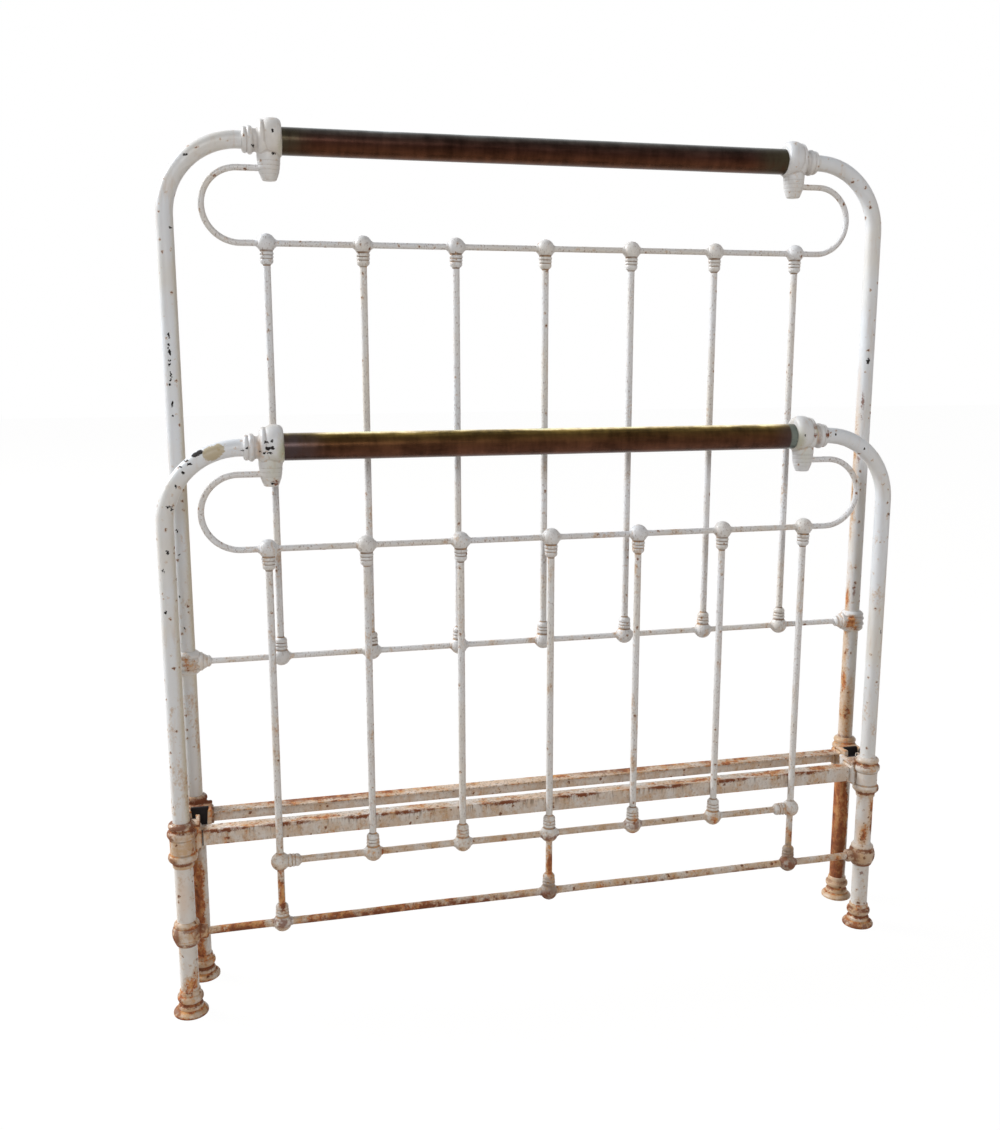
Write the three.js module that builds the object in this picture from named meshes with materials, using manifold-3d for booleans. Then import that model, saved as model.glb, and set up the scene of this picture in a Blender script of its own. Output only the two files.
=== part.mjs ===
// A brass and iron double bedstead: the head end and the foot end, stood close together
// as they are stored, with the four side-rail sockets empty.
// Millimetres, +Z up. The origin is on the floor, midway between the two ends.
// Left and right are as seen from in front of the foot end, which faces -Y.

import * as THREE from 'three';
import { mergeVertices } from 'three/addons/utils/BufferGeometryUtils.js';
import Module from 'manifold-3d';

const wasm = await Module();
wasm.setup();

// Fits
const CLEARANCE = 0.3;            // gap between pieces that touch or fit in each other

// How the two ends stand
const END_SPACING = 126;          // from the foot end's plane to the head end's plane
const END_STAGGER = 22;           // the head end stands this far to the right

// Posts: iron tube, bent over at the top to carry the rail
const POST_CENTRES = 1372;        // across each end, 4 ft 6 in
const POST_DIAMETER = 30.2;       // 1 3/16 in tube
const POST_WALL = 2;
const POST_BEND = 130;            // centre-line radius of the bend
const POST_STRAIGHT = 5;          // between the bend and the rail casting
const BEND_STEPS = 8;

// Legs: a stouter tube below the corner castings
const LEG_DIAMETER = 33.4;        // 1 5/16 in tube
const LEG_WALL = 2.4;

// Top rails: brass tube on an iron core
const HEAD_RAIL_HEIGHT = 1560;
const FOOT_RAIL_HEIGHT = 1037;
const BRASS_DIAMETER = 47.6;      // 1 7/8 in tube
const BRASS_WALL = 1.2;
const CORE_DIAMETER = 12.7;       // 1/2 in rod
const CORE_GRIP = 12;             // of the core in each casting

// Castings at the ends of the rails
const SPIGOT_LENGTH = 12;         // inside the brass
const BARREL_RADIUS = 33.5;
const BARREL_LIFT = 5.5;          // of the barrel's axis above the brass's axis
const BARREL_LENGTH = 27;
const BARREL_ROUNDING = 8;        // where the barrel comes down to the brass
const MOUTH_LIP = 2.6;            // of the casting's end round the brass
const BAND_RADIUS = 28.5;
const BAND_LENGTH = 11;
const NECK_RADIUS = 18.9;
const COLLAR_RADIUS = 24;
const COLLAR_LENGTH = 19;
const COLLAR_ROUNDING = 4;
const SHOULDER = 4;               // length of each slope between barrel, band, neck and collar
const POST_GRIP = 31;             // of the post's end in the rail casting
const LUG_FROM_BRASS = 23;        // the hanging lug's axis, outwards of the brass's end
const LUG_RADIUS = 20;
const LUG_DROP = 68;              // from the rail's axis to the lug's tip
const LUG_ROUNDING = 28;          // height of the lug's rounded tip
const LUG_STEPS = 4;
const LOOP_DROP = 46;             // from the rail's axis to the loop rod's axis

// Loop rods: one rod an end, bent to a C at each side
const LOOP_ROD_DIAMETER = 11.1;   // 7/16 in rod
const LOOP_INSET = 126;           // from the post's axis to the C's centre
const HEAD_LOOP_RADIUS = 63.5;
const FOOT_LOOP_RADIUS = 65.5;
const LOOP_STEPS = 12;
const LOOP_GRIP = 15;             // of the loop rod in the lug

// Cross rods
const HEAD_MID_ROD_HEIGHT = 632;
const HEAD_MID_ROD_DIAMETER = 11.1;
const LOWER_ROD_GAP = 4.4;        // between the knuckles on the lower rod and the angle iron
const FOOT_LOWER_ROD_DIAMETER = 12.7;
const FOOT_BOTTOM_ROD_HEIGHT = 157;
const FOOT_BOTTOM_ROD_DIAMETER = 14.3;

// Spindles
const SPINDLE_COUNT = 7;
const SPINDLE_DIAMETER = 12.7;    // 1/2 in rod
const STUB_GRIP = 6;              // of a stub's top in the ball above it

// Knuckles: iron cast in place round the crossing rods
const BALL_RADIUS = 15.5;
const BALL_STEPS = 5;             // from pole to pole
const WAIST_RADIUS = 9.2;
const WAIST_DROP = 14.5;          // from the ball's centre
const RING_RADIUS = 11.6;
const RING_START = 18;            // this and the next two are measured from the ball's centre too
const RING_END = 27;
const KNUCKLE_END = 38;           // where the taper meets the rod
const END_COLLAR_REACH = 40;      // of the sideways collars on the lower rod's ends
const END_COLLAR_LIP = 1.6;       // thickness of a collar's mouth round the rod
const LOWER_ROD_GRIP = 28;        // of the lower rod in those collars

// End rails: angle iron, web down and flange inwards
const ANGLE_LEG = 28.6;           // 1 1/8 in
const ANGLE_THICKNESS = 3.2;
const ANGLE_TOP = 348;            // the flange's top face, from the floor
const ANGLE_GRIP = 10;            // of the angle iron's end in its sleeve

// Corner castings, with heights taken from the angle iron's top face
const CORNER_RISE = 25;
const CORNER_DROP = 61;
const CORNER_RADIUS = 22.2;
const CORNER_RING_RADIUS = 26;
const CORNER_NECK_RADIUS = 19;
const CORNER_NECK_HEIGHT = 7;
const UPPER_RING_DROP = 22;       // from the casting's top to the ring's middle
const LOWER_RING_RISE = 20;      // from its bottom to the other ring's middle
const RING_HALF_HEIGHT = 3;
const RING_SLOPE = 4.5;           // height of a ring's sloping shoulder
const TUBE_STOP_DROP = 24;        // to the middle of the wall between the post and the leg
const TUBE_STOP_THICKNESS = 6;
const SLEEVE_REACH = 34;          // from the post's axis to the sleeve's mouth
const SLEEVE_WALL = 3.4;

// Side-rail sockets on the corner castings
const SOCKET_REACH = 56;          // from the post's axis to the block's face
const SOCKET_INSET = 9;           // of the block's middle from the post's axis, inwards
const SOCKET_WIDTH = 46;
const SOCKET_RISE = 13;           // above the angle iron's top face
const SOCKET_DROP = 38;           // below it
const SLOT_DEPTH = 17;
const SLOT_FLOOR = 9;             // thickness of iron under the slot
const SLOT_MOUTH_WIDTH = 30;      // at the top of the block
const SLOT_BACK_WIDTH = 36;
const SLOT_DRAFT = 8;             // how much narrower the slot is at its floor

// Castings where a rod meets a post or leg
const HUB_CLEAR_WALL = 3;         // iron left between the rod's end and the tube
const MID_HUB_RADIUS = 25.5;
const MID_HUB_GROOVE = 22.5;
const MID_HUB_RIDGE_PITCH = 11.8; // two round ridges with grooves between
const MID_HUB_HALF_HEIGHT = 22;
const MID_CONE_REACH = 43;        // from the post's axis
const MID_CONE_ROOT_RADIUS = 17;
const MID_CONE_TIP_RADIUS = 8.2;
const CONE_MOUTH = 8;             // length of the cone's outer end, which tapers less
const BOTTOM_HUB_RADIUS = 26.5;
const BOTTOM_HUB_TOP = 26;        // above the bottom rod's axis
const BOTTOM_HUB_BOTTOM = 21;     // below it
const BELLY_HALF_HEIGHT = 7;      // of the hub's widest part
const HUB_SHOULDER = 7;           // height of the hub's narrow ends
const BOTTOM_BOSS_REACH = 38;
const BOTTOM_BOSS_RADIUS = 13;
const BOSS_ROUNDING = 4;

// Feet
const SOLE_RADIUS = 31.5;
const SOLE_THICKNESS = 3;
const SOLE_SLOPE = 10;            // height over which the sole narrows to the groove
const FOOT_HEIGHT = 48;
const FOOT_GROOVE_HEIGHT = 16;    // to the middle of the groove
const FOOT_GROOVE_RADIUS = 19.8;
const FOOT_RING_RADIUS = 23.4;
const FOOT_RING_BOTTOM = 24;
const FOOT_RING_TOP = 33;
const FOOT_FLOOR = 8;             // thickness of iron under the leg

// Roundness
const BRASS_SIDES = 16;
const TUBE_SIDES = 12;
const ROD_SIDES = 8;
const SPINDLE_SIDES = 10;

const QUARTER = Math.PI / 2;

// Finishes
const finishes = {
  paint: { color: 0xded9cf, roughness: 0.42, metalness: 0.0 },
  shadedPaint: { color: 0xd2cabd, roughness: 0.5, metalness: 0.0 },
  rustyPaint: { color: 0xb79a80, roughness: 0.68, metalness: 0.1 },
  brass: { color: 0x5a3a1e, roughness: 0.34, metalness: 0.9 },
  iron: { color: 0x4a3a32, roughness: 0.75, metalness: 0.6 },
};

const bed = new THREE.Group();

function addPiece(name, geometry, finish, parent) {
  const material = new THREE.MeshStandardMaterial(finishes[finish]);
  const piece = new THREE.Mesh(geometry, material);
  piece.name = name;
  parent.add(piece);
  return piece;
}

// Solids and booleans

function toSolid(geometry) {
  const bare = geometry.clone();
  bare.deleteAttribute('normal');
  bare.deleteAttribute('uv');
  const merged = mergeVertices(bare, 1e-3);
  const mesh = new wasm.Mesh({
    numProp: 3,
    vertProperties: new Float32Array(merged.attributes.position.array),
    triVerts: new Uint32Array(merged.index.array),
  });
  return new wasm.Manifold(mesh);
}

function toGeometry(solid) {
  const mesh = solid.getMesh();
  const geometry = new THREE.BufferGeometry();
  geometry.setAttribute('position', new THREE.BufferAttribute(mesh.vertProperties, 3));
  geometry.setIndex(new THREE.BufferAttribute(mesh.triVerts, 1));
  geometry.computeVertexNormals();
  return geometry;
}

// Joins the first list of geometries and cuts the second list from the result.
function joinAndCut(joined, cuts) {
  let solid = toSolid(joined[0]);
  for (const geometry of joined.slice(1)) {
    solid = solid.add(toSolid(geometry));
  }
  for (const geometry of cuts) {
    solid = solid.subtract(toSolid(geometry));
  }
  return toGeometry(solid);
}

// Turned shapes. A profile is a list of [radius, place along the axis], starting and ending on the axis.

function turnedUp(profile, sides) {
  const points = profile.map(([radius, along]) => new THREE.Vector2(radius, along));
  const geometry = new THREE.LatheGeometry(points, sides);
  geometry.rotateX(QUARTER);
  return geometry;
}

function turnedSideways(profile, sides) {
  const points = profile.map(([radius, along]) => new THREE.Vector2(radius, along));
  const geometry = new THREE.LatheGeometry(points, sides);
  geometry.rotateZ(-QUARTER);
  return geometry;
}

function barUp(radius, bottom, top, sides) {
  return turnedUp([[0, bottom], [radius, bottom], [radius, top], [0, top]], sides);
}

function barSideways(radius, from, to, sides) {
  return turnedSideways([[0, from], [radius, from], [radius, to], [0, to]], sides);
}

// The corner radius of a bore that clears a bar of the same number of sides on every flat.
function boreRadius(radius, sides) {
  return radius + CLEARANCE / Math.cos(Math.PI / sides);
}

function pipeUp(radius, wall, bottom, top, sides) {
  const inner = radius - wall;
  return turnedUp([[inner, bottom], [radius, bottom], [radius, top], [inner, top], [inner, bottom]], sides);
}

function pipeSideways(radius, wall, from, to, sides) {
  const inner = radius - wall;
  return turnedSideways([[inner, from], [radius, from], [radius, to], [inner, to], [inner, from]], sides);
}

// Bent rods and tubes

// A route whose sections fall on its own corners, so that straight runs need no steps between.
class Route extends THREE.Curve {
  constructor(points) {
    super();
    this.points = points;
  }

  getPoint(share, target = new THREE.Vector3()) {
    const place = share * (this.points.length - 1);
    const index = Math.min(Math.floor(place + 1e-9), this.points.length - 2);
    return target.lerpVectors(this.points[index], this.points[index + 1], place - index);
  }

  getPointAt(share, target) {
    return this.getPoint(share, target);
  }

  getTangentAt(share, target = new THREE.Vector3()) {
    const index = Math.round(share * (this.points.length - 1));
    const before = this.points[Math.max(index - 1, 0)];
    const here = this.points[index];
    const after = this.points[Math.min(index + 1, this.points.length - 1)];
    const arriving = here.clone().sub(before).normalize();
    const leaving = after.clone().sub(here).normalize();
    return target.copy(arriving).add(leaving).normalize();
  }
}

function ring(radius, sides) {
  return Array.from({ length: sides }, (unused, index) => {
    const angle = (2 * Math.PI * index) / sides;
    return new THREE.Vector2(radius * Math.cos(angle), radius * Math.sin(angle));
  });
}

function bentBar(points, radius, sides, wall = 0) {
  const section = new THREE.Shape(ring(radius, sides));
  if (wall > 0) {
    section.holes.push(new THREE.Path(ring(radius - wall, sides).reverse()));
  }
  return new THREE.ExtrudeGeometry(section, {
    steps: points.length - 1,
    extrudePath: new Route(points),
    bevelEnabled: false,
  });
}

// Points of an arc in the XZ plane, from one angle to another, both ends included.
function arcPoints(centreX, centreZ, radius, from, to, steps) {
  return Array.from({ length: steps + 1 }, (unused, index) => {
    const angle = from + ((to - from) * index) / steps;
    return new THREE.Vector3(centreX + radius * Math.cos(angle), 0, centreZ + radius * Math.sin(angle));
  });
}

function blockBetween(x0, x1, y0, y1, z0, z1) {
  const geometry = new THREE.BoxGeometry(Math.abs(x1 - x0), Math.abs(y1 - y0), Math.abs(z1 - z0));
  geometry.translate((x0 + x1) / 2, (y0 + y1) / 2, (z0 + z1) / 2);
  return geometry;
}

// Sizes that follow from the driving ones

const postRadius = POST_DIAMETER / 2;
const legRadius = LEG_DIAMETER / 2;
const brassRadius = BRASS_DIAMETER / 2;
const coreRadius = CORE_DIAMETER / 2;
const loopRodRadius = LOOP_ROD_DIAMETER / 2;
const spindleRadius = SPINDLE_DIAMETER / 2;
const midRodRadius = HEAD_MID_ROD_DIAMETER / 2;
const lowerRodRadius = FOOT_LOWER_ROD_DIAMETER / 2;
const bottomRodRadius = FOOT_BOTTOM_ROD_DIAMETER / 2;
const postPlace = POST_CENTRES / 2;
const bandStart = BARREL_LENGTH + SHOULDER;
const bandEnd = bandStart + BAND_LENGTH;
const neckStart = bandEnd + SHOULDER;
const collarStart = neckStart + SHOULDER;
const railCastingLength = collarStart + COLLAR_LENGTH;
const castingEnd = postPlace - POST_BEND - POST_STRAIGHT;
const brassEnd = castingEnd - railCastingLength;
const postEnd = castingEnd - POST_GRIP;
const lugPlace = brassEnd + LUG_FROM_BRASS;
const loopEnd = lugPlace + LUG_RADIUS - LOOP_GRIP;
const loopPlace = postPlace - LOOP_INSET;
const headUpperRodHeight = HEAD_RAIL_HEIGHT - LOOP_DROP - 2 * HEAD_LOOP_RADIUS;
const footUpperRodHeight = FOOT_RAIL_HEIGHT - LOOP_DROP - 2 * FOOT_LOOP_RADIUS;
const lowerRodHeight = ANGLE_TOP - ANGLE_LEG - LOWER_ROD_GAP - KNUCKLE_END;
const spindlePitch = POST_CENTRES / (SPINDLE_COUNT + 1);
const midSpindle = (SPINDLE_COUNT - 1) / 2;
const outerSpindle = midSpindle * spindlePitch;
const places = Array.from({ length: SPINDLE_COUNT }, (unused, index) => index - midSpindle);
const stubPlaces = [places[0], places[Math.floor(midSpindle)], places[SPINDLE_COUNT - 1]];
const angleEnd = postPlace - SLEEVE_REACH + ANGLE_GRIP;
const angleFace = spindleRadius + CLEARANCE;
const cornerTop = ANGLE_TOP + CORNER_RISE;
const cornerBottom = ANGLE_TOP - CORNER_DROP;
const socketTop = ANGLE_TOP + SOCKET_RISE;
const socketBottom = ANGLE_TOP - SOCKET_DROP;
const slotFloor = socketBottom + SLOT_FLOOR;
const postBottom = ANGLE_TOP - TUBE_STOP_DROP + TUBE_STOP_THICKNESS / 2;
const legTop = ANGLE_TOP - TUBE_STOP_DROP - TUBE_STOP_THICKNESS / 2;
const legBottom = FOOT_FLOOR + CLEARANCE;

// Pieces. Each function draws a piece of one end in that end's own plane, y = 0, with +Y pointing
// to the other end. Side is -1 for the left and +1 for the right.

function drawPost(side, railHeight) {
  const bendHeight = railHeight - POST_BEND;
  const bend = arcPoints(postPlace - POST_BEND, bendHeight, POST_BEND, 0, QUARTER, BEND_STEPS);
  const points = [new THREE.Vector3(postPlace, 0, postBottom), ...bend, new THREE.Vector3(postEnd, 0, railHeight)];
  points.forEach((point) => {
    point.x *= side;
  });
  return bentBar(points, postRadius, TUBE_SIDES, POST_WALL);
}

function drawBrassRail(railHeight) {
  const rail = pipeSideways(brassRadius, BRASS_WALL, -brassEnd + CLEARANCE, brassEnd - CLEARANCE, BRASS_SIDES);
  return rail.translate(0, 0, railHeight);
}

function drawRailCore(railHeight) {
  const reach = brassEnd - SPIGOT_LENGTH + CORE_GRIP;
  return barSideways(coreRadius, -reach, reach, ROD_SIDES).translate(0, 0, railHeight);
}

function drawRailCasting(side, railHeight) {
  const spigotRadius = brassRadius - BRASS_WALL - CLEARANCE;
  const outer = railCastingLength;
  const body = turnedSideways([
    [0, -SPIGOT_LENGTH],
    [spigotRadius, -SPIGOT_LENGTH],
    [spigotRadius, 0],
    [brassRadius + MOUTH_LIP, 0],
    [BAND_RADIUS, SHOULDER],
    [BAND_RADIUS, bandEnd],
    [NECK_RADIUS, neckStart],
    [COLLAR_RADIUS, collarStart],
    [COLLAR_RADIUS, outer - COLLAR_ROUNDING],
    [NECK_RADIUS, outer],
    [0, outer],
  ], BRASS_SIDES);
  body.translate(brassEnd, 0, railHeight);
  const barrel = turnedSideways([
    [0, 0],
    [BARREL_RADIUS - BARREL_ROUNDING, 0],
    [BARREL_RADIUS, BARREL_ROUNDING],
    [BARREL_RADIUS, BARREL_LENGTH - SHOULDER],
    [BAND_RADIUS, bandStart],
    [0, bandStart],
  ], BRASS_SIDES);
  barrel.translate(brassEnd, 0, railHeight + BARREL_LIFT);
  const lugTip = Array.from({ length: LUG_STEPS + 1 }, (unused, index) => {
    const turn = (QUARTER * index) / LUG_STEPS;
    return [LUG_RADIUS * Math.sin(turn), LUG_ROUNDING * (1 - Math.cos(turn)) - LUG_DROP];
  });
  const lug = turnedUp([...lugTip, [LUG_RADIUS, 0], [0, 0]], TUBE_SIDES);
  lug.translate(lugPlace, 0, railHeight);
  const postBore = barSideways(boreRadius(postRadius, TUBE_SIDES), postEnd - CLEARANCE, castingEnd + 1, TUBE_SIDES);
  postBore.translate(0, 0, railHeight);
  const coreFloor = brassEnd - SPIGOT_LENGTH + CORE_GRIP + CLEARANCE;
  const coreBore = barSideways(boreRadius(coreRadius, ROD_SIDES), brassEnd - SPIGOT_LENGTH - 1, coreFloor, ROD_SIDES);
  coreBore.translate(0, 0, railHeight);
  const loopBore = barSideways(boreRadius(loopRodRadius, ROD_SIDES), loopEnd - CLEARANCE, castingEnd, ROD_SIDES);
  loopBore.translate(0, 0, railHeight - LOOP_DROP);
  const casting = joinAndCut([body, barrel, lug], [postBore, coreBore, loopBore]);
  return side > 0 ? casting : casting.rotateZ(Math.PI);
}

function drawLoopRod(railHeight, radius) {
  const topHeight = railHeight - LOOP_DROP;
  const rightLoop = arcPoints(loopPlace, topHeight - radius, radius, QUARTER, -QUARTER, LOOP_STEPS);
  const rightHalf = [new THREE.Vector3(loopEnd, 0, topHeight), ...rightLoop];
  const leftHalf = rightHalf.map((point) => new THREE.Vector3(-point.x, 0, point.z)).reverse();
  return bentBar([...rightHalf, ...leftHalf], loopRodRadius, ROD_SIDES);
}

// Profile of a ball from its far pole to the last step before the collar or the rod.
// Way is -1 where that collar or rod is below the ball.
function ballProfile(height, way) {
  return Array.from({ length: BALL_STEPS - 1 }, (unused, index) => {
    const turn = (Math.PI * index) / BALL_STEPS;
    return [BALL_RADIUS * Math.sin(turn), height - way * BALL_RADIUS * Math.cos(turn)];
  });
}

// A knuckle: a ball round the cross rod and a ringed collar that tapers to the spindle.
function knuckleProfile(height, way) {
  return [
    ...ballProfile(height, way),
    [WAIST_RADIUS, height + way * WAIST_DROP],
    [RING_RADIUS, height + way * RING_START],
    [RING_RADIUS, height + way * RING_END],
    [spindleRadius, height + way * KNUCKLE_END],
  ];
}

function plainBallProfile(height) {
  const meetingPlace = Math.sqrt(BALL_RADIUS ** 2 - spindleRadius ** 2);
  return [...ballProfile(height, 1), [spindleRadius, height + meetingPlace]];
}

// A straight bar along X, a little larger than the rod that goes through it.
function rodCut(radius, height, from, to) {
  return barSideways(boreRadius(radius, ROD_SIDES), from, to, ROD_SIDES).translate(0, 0, height);
}

function throughCut(radius, height) {
  return rodCut(radius, height, -2 * BALL_RADIUS, 2 * BALL_RADIUS);
}

function drawHeadSpindle() {
  const bottom = knuckleProfile(HEAD_MID_ROD_HEIGHT, 1);
  const top = knuckleProfile(headUpperRodHeight, -1).reverse();
  const spindle = turnedUp([...bottom, ...top], SPINDLE_SIDES);
  const cuts = [
    throughCut(midRodRadius, HEAD_MID_ROD_HEIGHT),
    throughCut(loopRodRadius, headUpperRodHeight),
  ];
  return joinAndCut([spindle], cuts);
}

function stubBore() {
  const top = lowerRodHeight - BALL_RADIUS + STUB_GRIP + CLEARANCE;
  return barUp(boreRadius(spindleRadius, ROD_SIDES), top - 2 * BALL_RADIUS, top, ROD_SIDES);
}

function drawFootSpindle(place) {
  const isOuter = Math.abs(place) === midSpindle;
  const bottom = isOuter ? plainBallProfile(lowerRodHeight) : knuckleProfile(lowerRodHeight, 1);
  const top = knuckleProfile(footUpperRodHeight, -1).reverse();
  const joined = [turnedUp([...bottom, ...top], SPINDLE_SIDES)];
  const cuts = [throughCut(loopRodRadius, footUpperRodHeight)];
  if (isOuter) {
    const collar = turnedSideways([
      [0, 0],
      [WAIST_RADIUS, 0],
      [WAIST_RADIUS, WAIST_DROP],
      [RING_RADIUS, RING_START],
      [RING_RADIUS, RING_END],
      [lowerRodRadius + END_COLLAR_LIP, END_COLLAR_REACH],
      [0, END_COLLAR_REACH],
    ], SPINDLE_SIDES);
    const inward = -Math.sign(place);
    const mouth = END_COLLAR_REACH + 1;
    const floor = END_COLLAR_REACH - LOWER_ROD_GRIP - CLEARANCE;
    if (inward < 0) {
      collar.rotateZ(Math.PI);
    }
    collar.translate(0, 0, lowerRodHeight);
    joined.push(collar);
    const from = Math.min(inward * floor, inward * mouth);
    const to = Math.max(inward * floor, inward * mouth);
    cuts.push(rodCut(lowerRodRadius, lowerRodHeight, from, to));
  } else {
    cuts.push(throughCut(lowerRodRadius, lowerRodHeight));
  }
  if (stubPlaces.includes(place)) {
    cuts.push(stubBore());
  }
  return joinAndCut(joined, cuts);
}

function drawStub() {
  const top = lowerRodHeight - BALL_RADIUS + STUB_GRIP;
  const profile = [...knuckleProfile(FOOT_BOTTOM_ROD_HEIGHT, 1), [spindleRadius, top], [0, top]];
  const stub = turnedUp(profile, ROD_SIDES);
  return joinAndCut([stub], [throughCut(bottomRodRadius, FOOT_BOTTOM_ROD_HEIGHT)]);
}

function drawCrossRod(radius, height, reach) {
  return barSideways(radius, -reach, reach, ROD_SIDES).translate(0, 0, height);
}

// The angle iron's section in the plane of the post, as [y, z] corners, grown by a margin all round.
function angleSection(margin) {
  const web = angleFace - margin;
  const webBack = angleFace + ANGLE_THICKNESS + margin;
  const flangeEdge = angleFace + ANGLE_LEG + margin;
  const top = ANGLE_TOP + margin;
  const under = ANGLE_TOP - ANGLE_THICKNESS - margin;
  const bottom = ANGLE_TOP - ANGLE_LEG - margin;
  return [[web, bottom], [webBack, bottom], [webBack, under], [flangeEdge, under], [flangeEdge, top], [web, top]];
}

// A bar along X with the angle iron's section.
function angleBar(from, to, margin) {
  const corners = angleSection(margin).map(([y, z]) => new THREE.Vector2(y, z));
  const geometry = new THREE.ExtrudeGeometry(new THREE.Shape(corners), { depth: to - from, bevelEnabled: false });
  geometry.applyMatrix4(new THREE.Matrix4().set(0, 0, 1, from, 1, 0, 0, 0, 0, 1, 0, 0, 0, 0, 0, 1));
  return geometry;
}

// The side rail's slot: wider at its back than at its mouth, and narrower towards its floor.
function socketSlot() {
  const top = socketTop + 1;
  const mouth = SOCKET_REACH + 1;
  const back = SOCKET_REACH - SLOT_DEPTH;
  const corners = [];
  for (const [height, narrower] of [[slotFloor, SLOT_DRAFT], [top, 0]]) {
    const mouthHalf = (SLOT_MOUTH_WIDTH - narrower) / 2;
    const backHalf = (SLOT_BACK_WIDTH - narrower) / 2;
    corners.push(-backHalf, back, height, backHalf, back, height);
    corners.push(mouthHalf, mouth, height, -mouthHalf, mouth, height);
  }
  const geometry = new THREE.BufferGeometry();
  geometry.setAttribute('position', new THREE.Float32BufferAttribute(corners, 3));
  geometry.setIndex([
    0, 2, 1, 0, 3, 2, 4, 5, 6, 4, 6, 7,
    0, 1, 5, 0, 5, 4, 1, 2, 6, 1, 6, 5,
    2, 3, 7, 2, 7, 6, 3, 0, 4, 3, 4, 7,
  ]);
  return geometry;
}

function drawCornerCasting(side) {
  const ringUp = (height) => [
    [CORNER_RADIUS, height - RING_HALF_HEIGHT - RING_SLOPE],
    [CORNER_RING_RADIUS, height - RING_HALF_HEIGHT],
    [CORNER_RING_RADIUS, height + RING_HALF_HEIGHT],
    [CORNER_RADIUS, height + RING_HALF_HEIGHT + RING_SLOPE],
  ];
  const body = turnedUp([
    [0, cornerBottom],
    [CORNER_NECK_RADIUS, cornerBottom],
    [CORNER_NECK_RADIUS, cornerBottom + CORNER_NECK_HEIGHT],
    ...ringUp(cornerBottom + LOWER_RING_RISE),
    ...ringUp(cornerTop - UPPER_RING_DROP),
    [CORNER_RADIUS, cornerTop - CORNER_NECK_HEIGHT],
    [CORNER_NECK_RADIUS, cornerTop],
    [0, cornerTop],
  ], TUBE_SIDES);
  const inward = -side;
  const blockPlace = inward * SOCKET_INSET;
  const halfWidth = SOCKET_WIDTH / 2;
  const block = blockBetween(-halfWidth, halfWidth, 0, SOCKET_REACH, socketBottom, socketTop);
  block.translate(blockPlace, 0, 0);
  const slot = socketSlot().translate(blockPlace, 0, 0);
  const sleeveEnds = [inward * postRadius, inward * SLEEVE_REACH].sort((a, b) => a - b);
  const sleeve = angleBar(sleeveEnds[0], sleeveEnds[1], SLEEVE_WALL);
  const seat = inward * (SLEEVE_REACH - ANGLE_GRIP - CLEARANCE);
  const pastMouth = Math.max(SLEEVE_REACH, SOCKET_INSET + halfWidth) + 1;
  const cutEnds = [seat, inward * pastMouth].sort((a, b) => a - b);
  const angleCut = angleBar(cutEnds[0], cutEnds[1], CLEARANCE);
  const postBore = barUp(boreRadius(postRadius, TUBE_SIDES), postBottom - CLEARANCE, cornerTop + 1, TUBE_SIDES);
  const legBore = barUp(boreRadius(legRadius, TUBE_SIDES), cornerBottom - 1, legTop + CLEARANCE, TUBE_SIDES);
  const casting = joinAndCut([body, block, sleeve], [angleCut, postBore, legBore, slot]);
  return casting.translate(side * postPlace, 0, 0);
}

function drawLeg(side) {
  return pipeUp(legRadius, LEG_WALL, legBottom, legTop, TUBE_SIDES).translate(side * postPlace, 0, 0);
}

function drawFoot(side) {
  const body = turnedUp([
    [0, 0],
    [SOLE_RADIUS, 0],
    [SOLE_RADIUS, SOLE_THICKNESS],
    [FOOT_RING_RADIUS, SOLE_THICKNESS + SOLE_SLOPE],
    [FOOT_GROOVE_RADIUS, FOOT_GROOVE_HEIGHT],
    [FOOT_RING_RADIUS, FOOT_RING_BOTTOM],
    [FOOT_RING_RADIUS, FOOT_RING_TOP],
    [FOOT_GROOVE_RADIUS, FOOT_HEIGHT],
    [0, FOOT_HEIGHT],
  ], TUBE_SIDES);
  const bore = barUp(boreRadius(legRadius, TUBE_SIDES), legBottom - CLEARANCE, FOOT_HEIGHT + 1, TUBE_SIDES);
  return joinAndCut([body], [bore]).translate(side * postPlace, 0, 0);
}

// A casting round a post or leg that holds the end of a rod pointing to the end's middle.
function drawHub(side, height, profile, arm, tubeRadius, rodRadius, reach) {
  const hub = turnedUp(profile, TUBE_SIDES);
  const boss = turnedSideways(arm, TUBE_SIDES);
  const rodFrom = tubeRadius + HUB_CLEAR_WALL - CLEARANCE;
  const tubeBore = barUp(boreRadius(tubeRadius, TUBE_SIDES), -2 * reach, 2 * reach, TUBE_SIDES);
  const rodBore = barSideways(boreRadius(rodRadius, ROD_SIDES), rodFrom, reach + 1, ROD_SIDES);
  const casting = joinAndCut([hub, boss], [tubeBore, rodBore]);
  if (side > 0) {
    casting.rotateZ(Math.PI);
  }
  return casting.translate(side * postPlace, 0, height);
}

function drawMidCasting(side) {
  const half = MID_HUB_HALF_HEIGHT;
  const profile = [
    [0, -half],
    [NECK_RADIUS, -half],
    [MID_HUB_GROOVE, -MID_HUB_RIDGE_PITCH],
    [MID_HUB_RADIUS, -MID_HUB_RIDGE_PITCH / 2],
    [MID_HUB_GROOVE, 0],
    [MID_HUB_RADIUS, MID_HUB_RIDGE_PITCH / 2],
    [MID_HUB_GROOVE, MID_HUB_RIDGE_PITCH],
    [NECK_RADIUS, half],
    [0, half],
  ];
  const arm = [
    [0, 0],
    [MID_CONE_ROOT_RADIUS, 0],
    [MID_CONE_ROOT_RADIUS, MID_HUB_GROOVE],
    [MID_CONE_TIP_RADIUS, MID_CONE_REACH - CONE_MOUTH],
    [MID_CONE_TIP_RADIUS, MID_CONE_REACH],
    [0, MID_CONE_REACH],
  ];
  return drawHub(side, HEAD_MID_ROD_HEIGHT, profile, arm, postRadius, midRodRadius, MID_CONE_REACH);
}

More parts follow.
